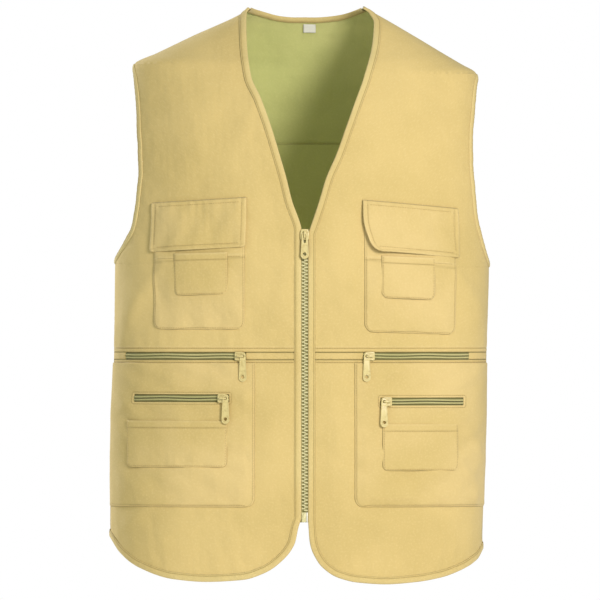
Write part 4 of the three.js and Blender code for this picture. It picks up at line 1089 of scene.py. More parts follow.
@dataclass
class FrontPanels:
    """Upper and lower fronts and the strips of cloth in the waist seam."""

    step: float = 2.3
    upper_width: float = 232.0
    lower_width: float = 225.0
    lower_height: float = 262.0
    neck_seam: float = 9.5
    armhole_seam: float = 8.5
    upper_seam: float = 5.0
    lower_seam: float = 3.2
    hem_seam: float = 10.0
    shoulder_gap: float = 1.4
    upper_gathers: Gathers = Gathers(0.6, 0.3, 17, 5, 5, 1.4, 0.07)
    armhole_gathers: Gathers = Gathers(0.5, 0.13, 24, 8, 6, 1.1, 0.03)
    neck_gathers: Gathers = Gathers(0.35, 0.17, 18, 9, 6, 1.2, 0.04)
    hem_gathers: Gathers = Gathers(0.6, 0.23, 26, 9, 8, 1.4, 0.06)
    inner_zip: float = 71.0
    zip_length: dict = field(default_factory=lambda: {Side.RIGHT: 145.0, Side.LEFT: 127.0})

    def upper(self, side: Side) -> ClothSheet:
        """Upper front of one side."""
        start = float(FORM.angle_of(side.value * (FRONT_EDGE + EDGE_INSET), WAIST_TOP))
        end = FORM.seam_angle(side, Face.FRONT)
        top = self._shoulder_start(side)
        tip, underarm = FORM.tip(side), FORM.underarm(side)
        hole_z = mix(tip, underarm, np.linspace(0, 1, 400))
        hole = FORM.skin(FORM.outer_angle(side, Face.FRONT, hole_z), hole_z)
        run = line_lengths(hole, 0)
        hole_rows = np.interp(stations(run[-1], self.step, 0.8), run, hole_z)
        foot = WAIST_TOP - underarm
        rows = np.concatenate([
            top - stations(top - tip, self.step, end=False)[:-1],
            hole_rows[:-1],
            underarm + np.sign(foot) * stations(abs(foot), self.step, 0.7),
        ])
        columns = stations(self.upper_width, self.step, 0.7) / self.upper_width

        def locate(u: Array, z: Array) -> Place:

            """Angle, height and layer of grid places."""
            inner = FORM.angle_of(side.value * (FORM.edge_x(side, z) + EDGE_INSET), z) - start
            outer = FORM.outer_angle(side, Face.FRONT, z, EDGE_INSET) - end
            return mix(start, end, u) + inner * (1 - u) + outer * u ** 1.6, z, np.full(z.shape, CLOTH_RISE)

        def relief(a: Array, b: Array, c: Array, d: Array) -> Surface:

            """Height over the layer, and painted shade and highlight."""
            height = sewn(a, self.neck_seam, c, 1.0, 0.1) * 0.7
            height += sewn(b, self.armhole_seam, c, 2.0, 0.1) * 0.7
            height += sewn(d, self.upper_seam, a, 3.0) + self.upper_gathers.lift(a, d)
            height += self.armhole_gathers.lift(c, b) + self.neck_gathers.lift(c, a)
            height = height * ease((a + b - 14) / 45) + rolled(d, 0.9)
            tone = -0.55 * ridge(d, 0.0, 0.8) - 0.3 * ridge(d, self.upper_seam, 0.8)
            tone += 0.25 * ridge(d, 6.5, 1.0)
            return height, tone

        return ClothSheet(f"twill_front_upper_{side.label}", columns, rows, locate, relief)

    def _shoulder_start(self, side: Side) -> float:
        """Height where the shoulder seam clears the neck band."""
        high, low = NECK_RISE, FORM.tip(side)
        for _ in range(40):
            z = (high + low) / 2
            if float(FORM.half_width(side, z) - FORM.edge_x(side, z)) > self.shoulder_gap:
                low = z
            else:
                high = z
        return high

    def lower(self, side: Side) -> ClothSheet:
        """Lower front of one side, down to the rounded hem."""
        start = (FRONT_EDGE + EDGE_INSET) / float(FORM.half_width(side, WAIST_FOOT))
        columns = mix(start, 1.0, stations(self.lower_width, self.step, 0.7) / self.lower_width)
        rows = stations(self.lower_height, self.step, 0.7, end=False) / self.lower_height

        def locate(across: Array, v: Array) -> Place:

            """Angle, height and layer of grid places."""
            z = mix(WAIST_FOOT, FORM.front_hem(side, across) + EDGE_INSET, v)
            angle = FORM.angle_of(side.value * across * FORM.half_width(side, z), z)
            angle = np.where(across >= 1, FORM.seam_angle(side, Face.FRONT), angle)
            return angle, z, np.full(z.shape, CLOTH_RISE)

        def relief(a: Array, b: Array, c: Array, d: Array) -> Surface:

            """Height over the layer, and painted shade along the edges and the seam."""
            height = rolled(c, 0.9) + sewn(c, self.lower_seam, a, 1.5) + rolled(b, 0.7)
            height += sewn(d, self.hem_seam, a, 2.5, 0.1) + self.hem_gathers.lift(a, d)
            tone = -0.55 * ridge(c, 0, 0.8) - 0.25 * ridge(c, self.lower_seam, 0.8) - 0.4 * ridge(b, 0, 0.8)
            return height, tone

        return ClothSheet(f"twill_front_lower_{side.label}", columns, rows, locate, relief)

    def strip(self, side: Side, name: str, x_from: float, x_to: float) -> ClothSheet:
        """Strip of cloth between the fronts, inside or outside the waist zip."""
        wide = float(FORM.half_width(side, WAIST))
        columns = (x_from + stations(x_to - x_from, 1.6, 0.6)) / wide
        half = ZIP_WINDOW / 2 - SEAM_GAP
        rows = stations(2 * half, 0.9, 0.45)

        def locate(across: Array, v: Array) -> Place:

            """Angle, height and layer of grid places."""
            z = WAIST + half - v
            angle = FORM.angle_of(side.value * across * FORM.half_width(side, z), z)
            angle = np.where(across >= 0.999, FORM.seam_angle(side, Face.FRONT), angle)
            return angle, z, np.full(z.shape, 1.1)

        def relief(a: Array, b: Array, c: Array, d: Array) -> Surface:

            """Height over the layer, and painted shade along its edges."""
            height = rolled(c, 0.7, 0.7) + rolled(d, 0.7, 0.7) + 0.25 * np.sin(a * 0.5) * ridge(c, 4, 2)
            tone = -0.45 * (ridge(c, 0, 0.6) + ridge(d, 0, 0.6))
            return height, tone

        return ClothSheet(f"twill_waist_{name}_{side.label}", columns, rows, locate, relief)

    def build(self, finishes: Finishes) -> None:
        """Makes the fronts and their seam stitching."""
        for side in Side:
            tag = side.label
            wear(self.upper(side).build(finishes.cloth, finishes.inside), f"front_upper_{tag}", "cloth")
            wear(self.lower(side).build(finishes.cloth, finishes.inside), f"front_lower_{tag}", "cloth")
            zip_end = self.inner_zip + self.zip_length[side]
            wide = float(FORM.half_width(side, WAIST))
            inner = self.strip(side, "inner", FRONT_EDGE + EDGE_INSET, self.inner_zip - SEAM_GAP)
            wear(inner.build(finishes.cloth, finishes.inside), f"waist_strip_inner_{tag}", "cloth")
            outer = self.strip(side, "outer", zip_end + SEAM_GAP, wide)
            wear(outer.build(finishes.cloth, finishes.inside), f"waist_strip_outer_{tag}", "cloth")
            thread = Stitching(f"thread_front_{tag}")
            for z, shift in ((WAIST_TOP, self.upper_seam), (WAIST_FOOT, -self.lower_seam)):
                x = np.linspace(14, float(FORM.half_width(side, z)) - 1.0, 160)
                line = np.full(x.shape, z + shift)
                thread.row(FORM.angle_of(side.value * x, line), line, CLOTH_RISE)
            thread.build(finishes.thread)


@dataclass
class BackPanels:
    """Back body and yoke."""

    step: float = 3.4
    width: float = 540.0
    yoke_width: float = 410.0
    neck_power: float = 2.4
    lap: float = 5.0
    hem_seam: float = 11.0
    yoke_seam: float = 3.0
    hem_gathers: Gathers = Gathers(0.5, 0.21, 30, 8, 8, 1.0, 0.05)
    yoke_gathers: Gathers = Gathers(0.35, 0.3, 15, 0, 4)

    def body(self) -> ClothSheet:
        """Back below the yoke seam."""
        top = YOKE_FOOT - SEAM_GAP / 2
        columns = stations(self.width, self.step, 0.8) / self.width
        low = (FORM.underarm(Side.RIGHT) + FORM.underarm(Side.LEFT)) / 2
        upper = stations(top - low, self.step, 0.7) / (top - low)
        lower = 1 + stations(low - BACK_HEM, self.step, 0.7, start=False) / (low - BACK_HEM)
        rows = np.concatenate([upper, lower[1:]])

        def locate(u: Array, v: Array) -> Place:

            """Angle, height and layer of grid places."""
            underarm = mix(FORM.underarm(Side.RIGHT), FORM.underarm(Side.LEFT), u)
            hem = FORM.back_hem(mix(-np.pi, 0, u)) + EDGE_INSET
            z = np.where(v <= 1, mix(top, underarm, v), mix(underarm, hem, v - 1))
            angle = mix(FORM.seam_angle(Side.RIGHT, Face.BACK), FORM.seam_angle(Side.LEFT, Face.BACK), u)
            for side, near in ((Side.RIGHT, 1 - u), (Side.LEFT, u)):
                own = np.where(v <= 1, mix(top, FORM.underarm(side), v), BACK_HEM)
                outer = FORM.outer_angle(side, Face.BACK, own, EDGE_INSET)
                angle += (outer - FORM.seam_angle(side, Face.BACK)) * near ** 3
            return angle, z, np.full(z.shape, CLOTH_RISE)

        def relief(a: Array, b: Array, c: Array, d: Array) -> Surface:

            """Height over the layer, and painted shade along the edges."""
            height = rolled(c, 0.5) + sewn(d, self.hem_seam, a, 1.2, 0.1) + rolls(0.7, a, b)
            height += self.hem_gathers.lift(a, d)
            tone = -0.5 * ridge(c, 0, 0.9) - 0.35 * ridges(0, 1, a, b)
            return height, tone

        return ClothSheet("twill_back_body", columns, rows, locate, relief)

    def neck_edge(self, share: Array) -> Array:
        """Height of the back neck edge at a share of the way to the neck point."""
        return NECK_RISE * np.abs(share) ** self.neck_power

    @staticmethod
    def neck_point(side: Side) -> float:
        """Distance of the neck point from the middle."""
        return HALF_WIDTH * NECK_EDGE[0][1 if side is Side.RIGHT else 2]

    def yoke(self) -> ClothSheet:
        """Yoke from the shoulder seams and neck down to the yoke seam."""
        foot = YOKE_FOOT - self.lap
        columns = 2 * stations(self.yoke_width, 3.0, 0.8) / self.yoke_width - 1
        tall = NECK_RISE - foot
        rows = np.sqrt(stations(tall, 2.6, 0.6) / tall)

        def ridge_height(side: Side, x: Array) -> Array:

            """Top of the yoke: the neck edge and then the shoulder seam."""
            point = self.neck_point(side)
            z = np.linspace(FORM.tip(side), NECK_RISE, 300)
            wide = FORM.half_width(side, z)
            seam = np.interp(x, wide[::-1], z[::-1])
            return np.where(x <= point, self.neck_edge(x / point) - EDGE_INSET, seam)

        def locate(u: Array, v: Array) -> Place:

            """Angle, height and layer of grid places."""
            parts = []
            for side in Side:
                reach_top = HALF_WIDTH * ARMHOLE[side][0][1] - EDGE_INSET
                start = np.abs(u) * reach_top
                z = mix(ridge_height(side, start), foot, v * v)
                share = FORM.armhole[side](np.maximum(FORM.drop(z), FORM.drop(FORM.tip(side))))
                reach = HALF_WIDTH * share * FORM.back_share(side, z) - EDGE_INSET
                x = np.minimum(np.abs(u) * reach, FORM.half_width(side, z))
                angle = FORM.angle_of(side.value * x, z, Face.BACK)
                seam = (v <= 0) & (start > self.neck_point(side))
                parts.append((np.where(seam, FORM.seam_angle(side, Face.BACK), angle), z))
            right = u < 0
            angle = np.where(right, parts[0][0], parts[1][0])
            z = np.where(right, parts[0][1], parts[1][1])
            over = ease((YOKE_FOOT + 3.5 - z) / 3.0)
            return angle, z, CLOTH_RISE + over

        def relief(a: Array, b: Array, c: Array, d: Array) -> Surface:

            """Height over the layer, and painted shade along the seam."""
            height = rolled(d, 0.8) + sewn(d, self.yoke_seam, a, 1.8) + rolled(c, 0.5)
            height += self.yoke_gathers.lift(a, d)
            tone = -0.5 * ridge(d, 0, 0.9) - 0.25 * ridge(d, self.yoke_seam, 0.9)
            return height, tone

        return ClothSheet("twill_back_yoke", columns, rows, locate, relief)

    def build(self, finishes: Finishes) -> None:
        """Makes the back and its stitching."""
        wear(self.body().build(finishes.cloth, finishes.inside), "back_body", "cloth")
        wear(self.yoke().build(finishes.cloth, finishes.inside), "back_yoke", "cloth")
        thread = Stitching("thread_back")
        x = np.linspace(-185, 185, 200)
        line = np.full(x.shape, YOKE_FOOT + self.yoke_seam - self.lap)
        thread.row(FORM.angle_of(x, line, Face.BACK), line, 1.95)
        thread.build(finishes.thread)


@dataclass
class EdgeBand:
    """Folded strip of cloth sewn round an edge."""

    name: str
    angle: Array
    z: Array
    width: float
    inward: int
    closed: bool = False
    base: float = SECOND_LAYER
    inner_side: bool = False
    step: float = 2.1
    smoothing: int = 4
    thickness: float = 0.25

    def _frame(self) -> tuple[Array, Array, Array]:
        """Resampled angles, heights and inward directions along the edge."""
        points = FORM.skin(self.angle, self.z)
        if self.closed:
            points = np.concatenate([points, points[:1]])
        run = line_lengths(points, 0)
        count = int(run[-1] / self.step)
        places = np.linspace(0, run[-1], count + 1)
        fine = np.stack([np.interp(places, run, points[:, c]) for c in range(3)], -1)
        angle = np.arctan2(-fine[:, 1], fine[:, 0])
        if self.closed:
            before, after = np.roll(fine[:-1], 1, 0), np.roll(fine[:-1], -1, 0)
            along = np.concatenate([after - before, (after - before)[:1]])
        else:
            along = np.gradient(fine, axis=0)
        along = along / np.linalg.norm(along, axis=-1, keepdims=True)
        across = np.cross(FORM.normal(angle, fine[:, 2]), along) * self.inward
        if not self.closed:
            padded = np.pad(across, ((self.smoothing, self.smoothing), (0, 0)), mode="edge")
            across = sum(padded[k:k + len(across)] for k in range(2 * self.smoothing + 1))
        across = across / np.linalg.norm(across, axis=-1, keepdims=True)
        return fine, across, places

    def section(self) -> list[Point]:
        """Cross-section: distance from the edge inwards, height over the form, painted shade and highlight.
        """
        w = self.width
        if self.inner_side:
            return [
                (-0.3, 0.9, 0), (-0.5, 0.0, 0), (0.4, -0.5, 0.1), (1.6, -1.35, 0.2), (w * 0.5, -1.6, 0.1),
                (w - 1.9, -1.45, 0.0), (w - 1.3, -1.2, -0.4), (w - 0.7, -1.35, 0), (w - 0.1, -1.0, -0.3),
                (w + 0.1, -0.3, -0.6),
            ]
        top = self.base + 0.75
        return [
            (3.4, -0.15, -0.3), (0.8, -0.3, 0), (-0.4, -0.1, 0.1), (-0.7, 0.9, 0.2), (-0.3, top - 0.5, 0.3),
            (0.9, top, 0.25), (w * 0.5, top + 0.12, 0.1), (w - 2.6, top - 0.02, 0.0),
            (w - 1.75, top - 0.45, -0.5), (w - 1.0, top - 0.2, 0.0), (w - 0.2, top - 0.5, -0.2),
            (w + 0.15, self.base - 0.45, -0.9),
        ]

    def build(self, finish: Material, thread: Stitching) -> Piece:
        """Makes the band and adds its row of stitches.

        Args:
            finish: Material of the band.
            thread: Where the stitches are gathered.

        Returns:
            The new object.
        """
        fine, across, places = self._frame()
        section = self.section()
        count, around = len(fine), len(section)
        grid = np.empty((around, count, 3))
        normals = np.empty((around, count, 3))
        ease_up = 0.45 * ease((fine[:, 2] + 180) / 120) if not self.closed and not self.inner_side else 0.0
        for k, (inward, height, _) in enumerate(section):
            spot = fine + across * inward
            angle = np.arctan2(-spot[:, 1], spot[:, 0])
            pucker = 0.14 * np.sin(places * 0.9 + np.sin(places * 0.17) * 2) * (0 < inward < self.width)
            grid[k] = FORM.cloth(angle, spot[:, 2], height + pucker + ease_up)
            normals[k] = FORM.normal(angle, spot[:, 2])
        if self.closed:
            grid[:, -1] = grid[:, 0]
        grid = to_frame(grid)
        sign = -1 if self.inner_side else 1
        widths, _, painted_shadings = np.array(section).T
        woven = np.stack(np.broadcast_arrays(places[None, :], widths[:, None]), -1)
        out = np.zeros(normals.shape)
        out[around // 2] = normals[around // 2] * sign
        mesh = grid_mesh(self.name, grid, woven, np.broadcast_to(painted_shadings[:, None], grid.shape[:2]), out)
        if self.closed:
            bm = bmesh.new()
            bm.from_mesh(mesh)
            bmesh.ops.remove_doubles(bm, verts=bm.verts, dist=0.00001)
            bm.to_mesh(mesh)
            bm.free()
        piece = new_object(self.name, mesh, finish)
        thicken(piece, self.thickness)
        row = 6 if self.inner_side else 8
        thread.line(grid[row] + normals[row] * (0.1 * sign * MM), normals[row] * sign)
        return piece


@dataclass
class EdgeBands:
    """All the bands: fronts and hem, armholes, back neck and back hem."""

    front_width: float = 8.0
    armhole_width: float = 7.0
    neck_width: float = 7.0
    hem_width: float = 9.0

    def front(self, side: Side) -> EdgeBand:
        """Band down the V neck and the zip, then round the hem."""
        corner = FRONT_HEM[side][0][1]
        drops = np.concatenate([np.linspace(0.002, 0.03, 40), np.linspace(0.031, corner, 420)])
        z = NECK_RISE - drops * VEST_LENGTH
        angle = FORM.angle_of(side.value * np.minimum(FORM.edge_x(side, z), FORM.half_width(side, z)), z)
        across = np.linspace(FRONT_HEM[side][0][0] + 0.002, 0.9995, 500)
        hem = FORM.front_hem(side, across)
        hem_angle = FORM.angle_of(side.value * across * FORM.half_width(side, hem), hem)
        return EdgeBand(f"binding_front_{side.label}", np.concatenate([angle, hem_angle]),
                        np.concatenate([z, hem]), self.front_width, 1 if side is Side.LEFT else -1)

    def armhole(self, side: Side) -> EdgeBand:
        """Band round an armhole."""
        steps = (1 - np.cos(np.linspace(0.02, np.pi - 0.02, 300))) / 2
        z = mix(FORM.tip(side), FORM.underarm(side), steps)
        front = FORM.outer_angle(side, Face.FRONT, z)
        back = FORM.outer_angle(side, Face.BACK, z)
        middle = np.array([0.0 if side is Side.LEFT else np.pi])
        angle = np.concatenate([middle, front, middle, back[::-1]])
        height = np.concatenate([[FORM.tip(side)], z, [FORM.underarm(side)], z[::-1]])
        inward = 1 if side is Side.RIGHT else -1
        return EdgeBand(f"binding_armhole_{side.label}", angle, height, self.armhole_width, -inward, True)

    def neck(self, back: BackPanels) -> EdgeBand:
        """Band inside the back neck."""
        share = np.linspace(-1, 1, 160)
        x = share * np.where(share < 0, back.neck_point(Side.RIGHT), back.neck_point(Side.LEFT))
        z = back.neck_edge(share)
        angle = FORM.angle_of(x, z, Face.BACK)
        return EdgeBand("binding_neck", angle, z, self.neck_width, 1, inner_side=True)

    def hem(self) -> EdgeBand:
        """Band along the back hem."""
        start, end = (FORM.seam_angle(side, Face.BACK) for side in Side)
        angle = np.linspace(start, end, 400)
        return EdgeBand("binding_hem_back", angle, FORM.back_hem(angle), self.hem_width, -1)

    def build(self, finishes: Finishes, back: BackPanels) -> None:
        """Makes all the bands and their stitching."""
        thread = Stitching("thread_bindings")
        for side in Side:
            wear(self.front(side).build(finishes.band, thread), f"front_band_{side.label}", "band")
            wear(self.armhole(side).build(finishes.band, thread), f"armhole_band_{side.label}", "band")
        wear(self.neck(back).build(finishes.band, thread), "neck_band", "band")
        wear(self.hem().build(finishes.band, thread), "hem_band_back", "band")
        thread.build(finishes.thread)


@dataclass(frozen=True)
class ChestFit:
    """Small differences of one chest pocket: mm lower, slopes of its seam and foot, flap corner."""

    lower: float
    slope: float
    foot: float
    corner_lift: float
    corner_inset: float
    corner_round: float


def corner_inset(rise: Array, corner: float) -> Array:
    """How far a rounded corner pulls an edge in at a height above the foot."""
    low = np.clip(corner - rise, 0, corner)
    return corner - np.sqrt(np.maximum(0, corner ** 2 - low ** 2))


@dataclass
class ChestPocket:
    """Chest pocket with its flap and a small patch pocket on it."""

    inner: float = 72.0
    width: float = 110.0
    drop: float = 231.0
    height: float = 160.0
    lift: float = 2.6
    flap: float = 60.0
    overhang: float = 2.0
    patch_inset: float = 20.0
    patch_width: float = 64.0
    patch_height: float = 51.0
    corner: float = 11.0
    patch_corner: float = 8.0
    stitch: float = 2.2
    flap_stitch: float = 5.5
    patch_stitch: float = 2.0
    hem: float = 70.5
    patch_hem: float = 8.5
    flap_gathers: Gathers = Gathers(0.45, 0.55, 14, 0, 5, 1.5, 0.11)
    fits: dict = field(default_factory=lambda: {
        Side.RIGHT: ChestFit(0.0, 0.057, 0.0, 1.2, 1.0, 4.0),
        Side.LEFT: ChestFit(3.0, 0.09, 0.03, 7.0, 9.0, 13.0),
    })

    def seam(self, side: Side, across: Array) -> Array:
        """Height of the flap seam."""
        fit = self.fits[side]
        return NECK_RISE - self.drop - fit.lower - fit.slope * across

    def foot(self, side: Side, across: Array) -> Array:
        """Height of the pocket's foot."""
        fit = self.fits[side]
        return NECK_RISE - self.drop - fit.lower - self.height - fit.foot * across

    def slack(self, u: Array, v: Array) -> Array:
        """How far the slack pocket stands off the chest."""
        return self.lift * np.sin(np.pi * np.clip(u, 0, 1)) * np.sin(np.pi * np.clip(v, 0, 1)) ** 2

    def angle(self, side: Side, across: Array, z: Array) -> Array:
        """Angle of a place of the pocket."""
        return FORM.angle_of(side.value * (self.inner + across), z)

    def bag(self, side: Side) -> ClothSheet:
        """Outer face of the pocket."""
        columns = stations(self.width, 1.9) / self.width
        rows = stations(self.height, 1.9, start=False) / self.height
        seed = 3.0 + side.value

        def locate(u: Array, v: Array) -> Place:

            """Angle, height and layer of grid places."""
            inset = corner_inset((1 - v) * self.height, self.corner)
            across = mix(inset, self.width - inset, u)
            z = mix(self.seam(side, across) - 1.2, self.foot(side, across), v)
            layer = SECOND_LAYER + CLOTH_RISE + self.slack(across / self.width, v)
            return self.angle(side, across, z), z, layer

        def relief(a: Array, b: Array, c: Array, d: Array) -> Surface:

            """Height over the layer, and painted shade and highlight."""
            height = sewn_on(a, b, c, d, self.stitch, seed)
            hem = np.where(c > 70, 0, 1)
            height += hem * (0.5 * ridge(c, 67.5, 1.2) - 0.5 * ridge(c, 71.5, 1.0))
            ripple_up = 0.8 * np.sin(a * 0.19 + seed + 0.02 * c) * np.exp(-d / 28) * ease(d / 6)
            inside = ease(a / 14) * ease(b / 14) * ease(d / 10)
            ripple_up += 0.8 * np.sin((0.7 * a + c) * 0.085 + seed + np.sin(a * 0.05)) * inside
            tone = -0.6 * ridges(0, 0.9, a, b, d) + 0.3 * ridges(1.3, 0.8, a, b, d)
            tone = tone - 0.35 * ridge(c, 71.8, 1.0) + 0.3 * ridge(c, 67.5, 1.3)
            tone -= 0.3 * ridges(2.6, 0.6, a, b, d)
            return height + ripple_up, tone

        return ClothSheet(f"twill_chest_pocket_{side.label}", columns, rows, locate, relief)

    def cover(self, side: Side) -> ClothSheet:
        """Flap over the pocket's mouth."""
        fit = self.fits[side]
        columns = stations(self.width + 4, 1.7) / (self.width + 4)
        rows = stations(self.flap, 1.6) / self.flap
        seed = 7.0 + side.value

        def locate(u: Array, v: Array) -> Place:

            """Angle, height and layer of grid places."""
            rise = (1 - v) * self.flap
            sweep = fit.corner_inset * ease((v - 0.25) / 0.75) ** 1.5
            start = corner_inset(rise, fit.corner_round) * 0.9 + sweep - self.overhang
            end = self.width + self.overhang * (1 + v) - corner_inset(rise, 4.0) * 0.8
            across = mix(start, end, u)
            z = self.seam(side, across) - self.flap * v
            share = v * self.flap / self.height
            raised = fit.corner_lift * (1 - u) ** 3 * v
            layer = THIRD_LAYER + CLOTH_RISE + self.slack(across / self.width, share) + raised + 0.4 * v
            return self.angle(side, across, z), z, layer

        def relief(a: Array, b: Array, c: Array, d: Array) -> Surface:

            """Height over the layer, and painted shade and highlight."""
            place = self.flap_stitch
            height = rolled(c, 2.6) + rolled(b, 0.8) + rolls(0.4, a, d)
            height += sewn(c, place, a, seed) + sewn(a, place, c, seed + 1, 0.35)
            height += sewn(b, place, c, seed + 2, 0.35) + sewn(d, place, a, seed + 3, 0.35)
            gather = self.flap_gathers.lift(a, c)
            bow = 0.8 * np.sin(a * 0.07 + 0.05 * c + seed) * ease(c / 24) * ease(a / 8) * ease(b / 8)
            bow += 0.4 * np.sin(a * 0.21 - 0.09 * c + seed) * ease(c / 10) * ease(d / 10)
            tone = -0.5 * ridge(c, 0, 0.9) + 0.22 * ridges(0.9, 1, a, b, d)
            tone -= 0.2 * ridges(place, 0.7, a, b, d)
            return height + gather + bow, tone

        return ClothSheet(f"twill_chest_flap_{side.label}", columns, rows, locate, relief)

    def patch(self, side: Side) -> ClothSheet:
        """Small patch pocket below the flap."""
        columns = stations(self.patch_width, 1.7) / self.patch_width
        rows = stations(self.patch_height, 1.7) / self.patch_height
        seed = 11.0 + side.value

        def locate(u: Array, v: Array) -> Place:

            """Angle, height and layer of grid places."""
            inset = corner_inset((1 - v) * self.patch_height, self.patch_corner)
            across = self.patch_inset + mix(inset, self.patch_width - inset, u)
            middle = self.width / 2
            top = self.seam(side, np.array(middle)) - self.flap - 4
            z = top - self.patch_height * v - self.fits[side].slope * 0.5 * (across - middle)
            seam, foot = self.seam(side, across), self.foot(side, across)
            layer = THIRD_LAYER + CLOTH_RISE + self.slack(across / self.width, (seam - z) / (seam - foot))
            return self.angle(side, across, z), z, layer

        def relief(a: Array, b: Array, c: Array, d: Array) -> Surface:

            """Height over the layer, and painted shade and highlight."""
            height = sewn_on(a, b, c, d, self.patch_stitch, seed, 0.4) - 0.4 * ridge(c, self.patch_hem, 0.9)
            bulge = np.sin(np.pi * np.clip(a / self.patch_width, 0, 1))
            height += 0.5 * bulge * ease(c / 9)
            tone = -0.6 * ridges(0, 0.9, a, b, d) - 0.35 * ridge(c, self.patch_hem, 0.8)
            tone += 0.3 * ridge(c, 1.2, 1.2) + 0.25 * ridges(1.4, 0.8, a, b)
            return height, tone

        return ClothSheet(f"twill_chest_patch_{side.label}", columns, rows, locate, relief)

    def build(self, finishes: Finishes) -> None:
        """Makes both chest pockets."""
        for side in Side:
            tag = side.label
            sheets = {"pocket": self.bag(side), "flap": self.cover(side), "patch": self.patch(side)}
            for part, sheet in sheets.items():
                wear(sheet.build(finishes.pocket, finishes.cloth), f"chest_{part}_{tag}", "pocket_cloth")
            thread = Stitching(f"thread_chest_{tag}")
            thread.around(sheets["pocket"], self.stitch, self.width, self.height, skip=0.42)
            thread.around(sheets["flap"], self.flap_stitch, self.width, self.flap, top=True)
            thread.around(sheets["patch"], self.patch_stitch, self.patch_width, self.patch_height)
            thread.level(sheets["patch"], self.patch_hem / self.patch_height)
            thread.level(sheets["pocket"], self.hem / self.height)
            thread.build(finishes.thread)


@dataclass
class LowerPocket:
    """Large lower pocket with a zip across it and a patch pocket below the zip."""

    inner: float = 60.0
    top: float = WAIST - 8.0
    height: float = 175.0
    lift: float = 2.2
    bevel: float = 13.0
    corner: float = 11.0
    zip_inner: float = 91.0
    zip_length: dict = field(default_factory=lambda: {Side.RIGHT: 112.0, Side.LEFT: 98.0})
    zip_drop: dict = field(default_factory=lambda: {Side.RIGHT: 51.0, Side.LEFT: 55.0})
    patch_inner: float = 93.0
    patch_width: dict = field(default_factory=lambda: {Side.RIGHT: 119.0, Side.LEFT: 89.0})
    patch_height: float = 57.0
    patch_below: float = 27.0
    patch_corner: float = 7.0
    stitch: float = 2.2
    slot_stitch: float = 2.6
    patch_stitch: float = 2.0
    patch_hem: float = 9.0
    foot_gathers: Gathers = Gathers(0.5, 0.2, 22, 0, 6)
    side_gathers: Gathers = Gathers(0.45, 0.24, 16, 0, 6)
    patch_gathers: Gathers = Gathers(0.4, 0.22, 15, 0, 5)

    def zip_z(self, side: Side) -> float:
        """Height of the pocket's zip."""
        return WAIST - self.zip_drop[side]

    def slack(self, side: Side, x: Array, z: Array) -> Array:
        """Lift of the pocket: flat in the middle, sloping down at its edges."""
        inner = np.clip((x - self.inner) / self.bevel, 0, 1)
        outer = np.clip((FORM.half_width(side, z) - x) / self.bevel, 0, 1)
        top = np.clip((self.top - z) / (self.top - self.zip_z(side) - ZIP_WINDOW / 2), 0, 1)
        foot = np.clip((z - (self.top - self.height)) / self.bevel, 0, 1)
        return self.lift * np.minimum(inner, outer) * np.minimum(top, foot)

    def bag(self, side: Side) -> ClothSheet:
        """Outer face of the pocket, with the slot for its zip."""
        zip_z, wide = self.zip_z(side), float(FORM.half_width(side, self.zip_z(side)))
        zip_end = self.zip_inner + self.zip_length[side]
        columns = np.concatenate([
            self.inner + stations(self.zip_inner - self.inner, 2.0)[:-1],
            self.zip_inner + stations(zip_end - self.zip_inner, 2.2)[:-1],
            zip_end + stations(wide - zip_end, 2.0),
        ])
        slot = (zip_z + ZIP_WINDOW / 2, zip_z - ZIP_WINDOW / 2)
        foot = self.top - self.height
        rows = np.concatenate([
            self.top - stations(self.top - slot[0], 2.0)[:-1],
            slot[0] - stations(ZIP_WINDOW, 1.5)[:-1],
            slot[1] - stations(slot[1] - foot, 2.2),
        ])
        seed = 5.0 + side.value
        grid_s, grid_z = np.meshgrid(columns, rows)

        def locate(s: Array, z: Array) -> Place:

            """Angle, height and layer of grid places."""
            half = FORM.half_width(side, z)
            x = np.where(s > zip_end, mix(zip_end, half, (s - zip_end) / (wide - zip_end)), s)
            x = x + corner_inset(z - foot, self.corner) * np.clip(1 - (s - self.inner) / 20, 0, 1)
            angle = FORM.angle_of(side.value * x, z)
            angle = np.where(s >= wide, FORM.seam_angle(side, Face.FRONT), angle)
            return angle, z, SECOND_LAYER + CLOTH_RISE + self.slack(side, x, z)

        def relief(a: Array, b: Array, c: Array, d: Array) -> Surface:

            """Height over the layer, and painted shade and highlight."""
            gap = np.maximum(np.maximum(grid_z - slot[0], slot[1] - grid_z), 0)
            beside = np.maximum(np.maximum(self.zip_inner - grid_s, grid_s - zip_end), 0)
            hole = np.hypot(gap, beside)
            height = rolled(a, 1.6) + rolled(b, 1.2) + rolled(d, 1.6) + rolled(c, 1.0)
            height += sewn(a, self.stitch, c, seed) + sewn(d, self.stitch, a, seed + 2)
            height += sewn(b, 2.4, c, seed) + rolled(hole, 0.75)
            height -= 0.4 * ridge(hole, self.slot_stitch, 0.8)
            calm = FORM.calmness(side.value * grid_s, grid_z) * ease((hole - 3) / 8)
            calm *= ease(a / 12) * ease((b - 6) / 50) * ease(d / 12)
            level = 0.9 * np.sin(c * 0.12 + 0.8 * np.sin(a * 0.045 + seed) + seed)
            level += 0.5 * np.sin((0.5 * a + c) * 0.21 + seed + np.sin(c * 0.06))
            height += level * calm
            pull = self.foot_gathers.lift(a, d, seed) + self.side_gathers.lift(c, a, seed)
            tone = -0.65 * ridges(0, 0.9, a, d) + 0.35 * ridges(1.4, 0.9, a, d)
            tone = tone - 0.45 * ridge(hole, 0, 0.6) + 0.3 * ridge(hole, 1.4, 0.8)
            tone = tone - 0.3 * ridge(hole, 2.7, 0.6) - 0.3 * ridge(b, 0, 0.9)
            tone -= 0.35 * ridges(2.6, 0.6, a, d)
            return height + pull, tone

        def opening(s: float, z: float) -> bool:

            """Whether a place lies in the zip's slot."""
            return self.zip_inner < s < zip_end and slot[1] < z < slot[0]

        return ClothSheet(f"twill_lower_pocket_{side.label}", columns, rows, locate, relief, opening)

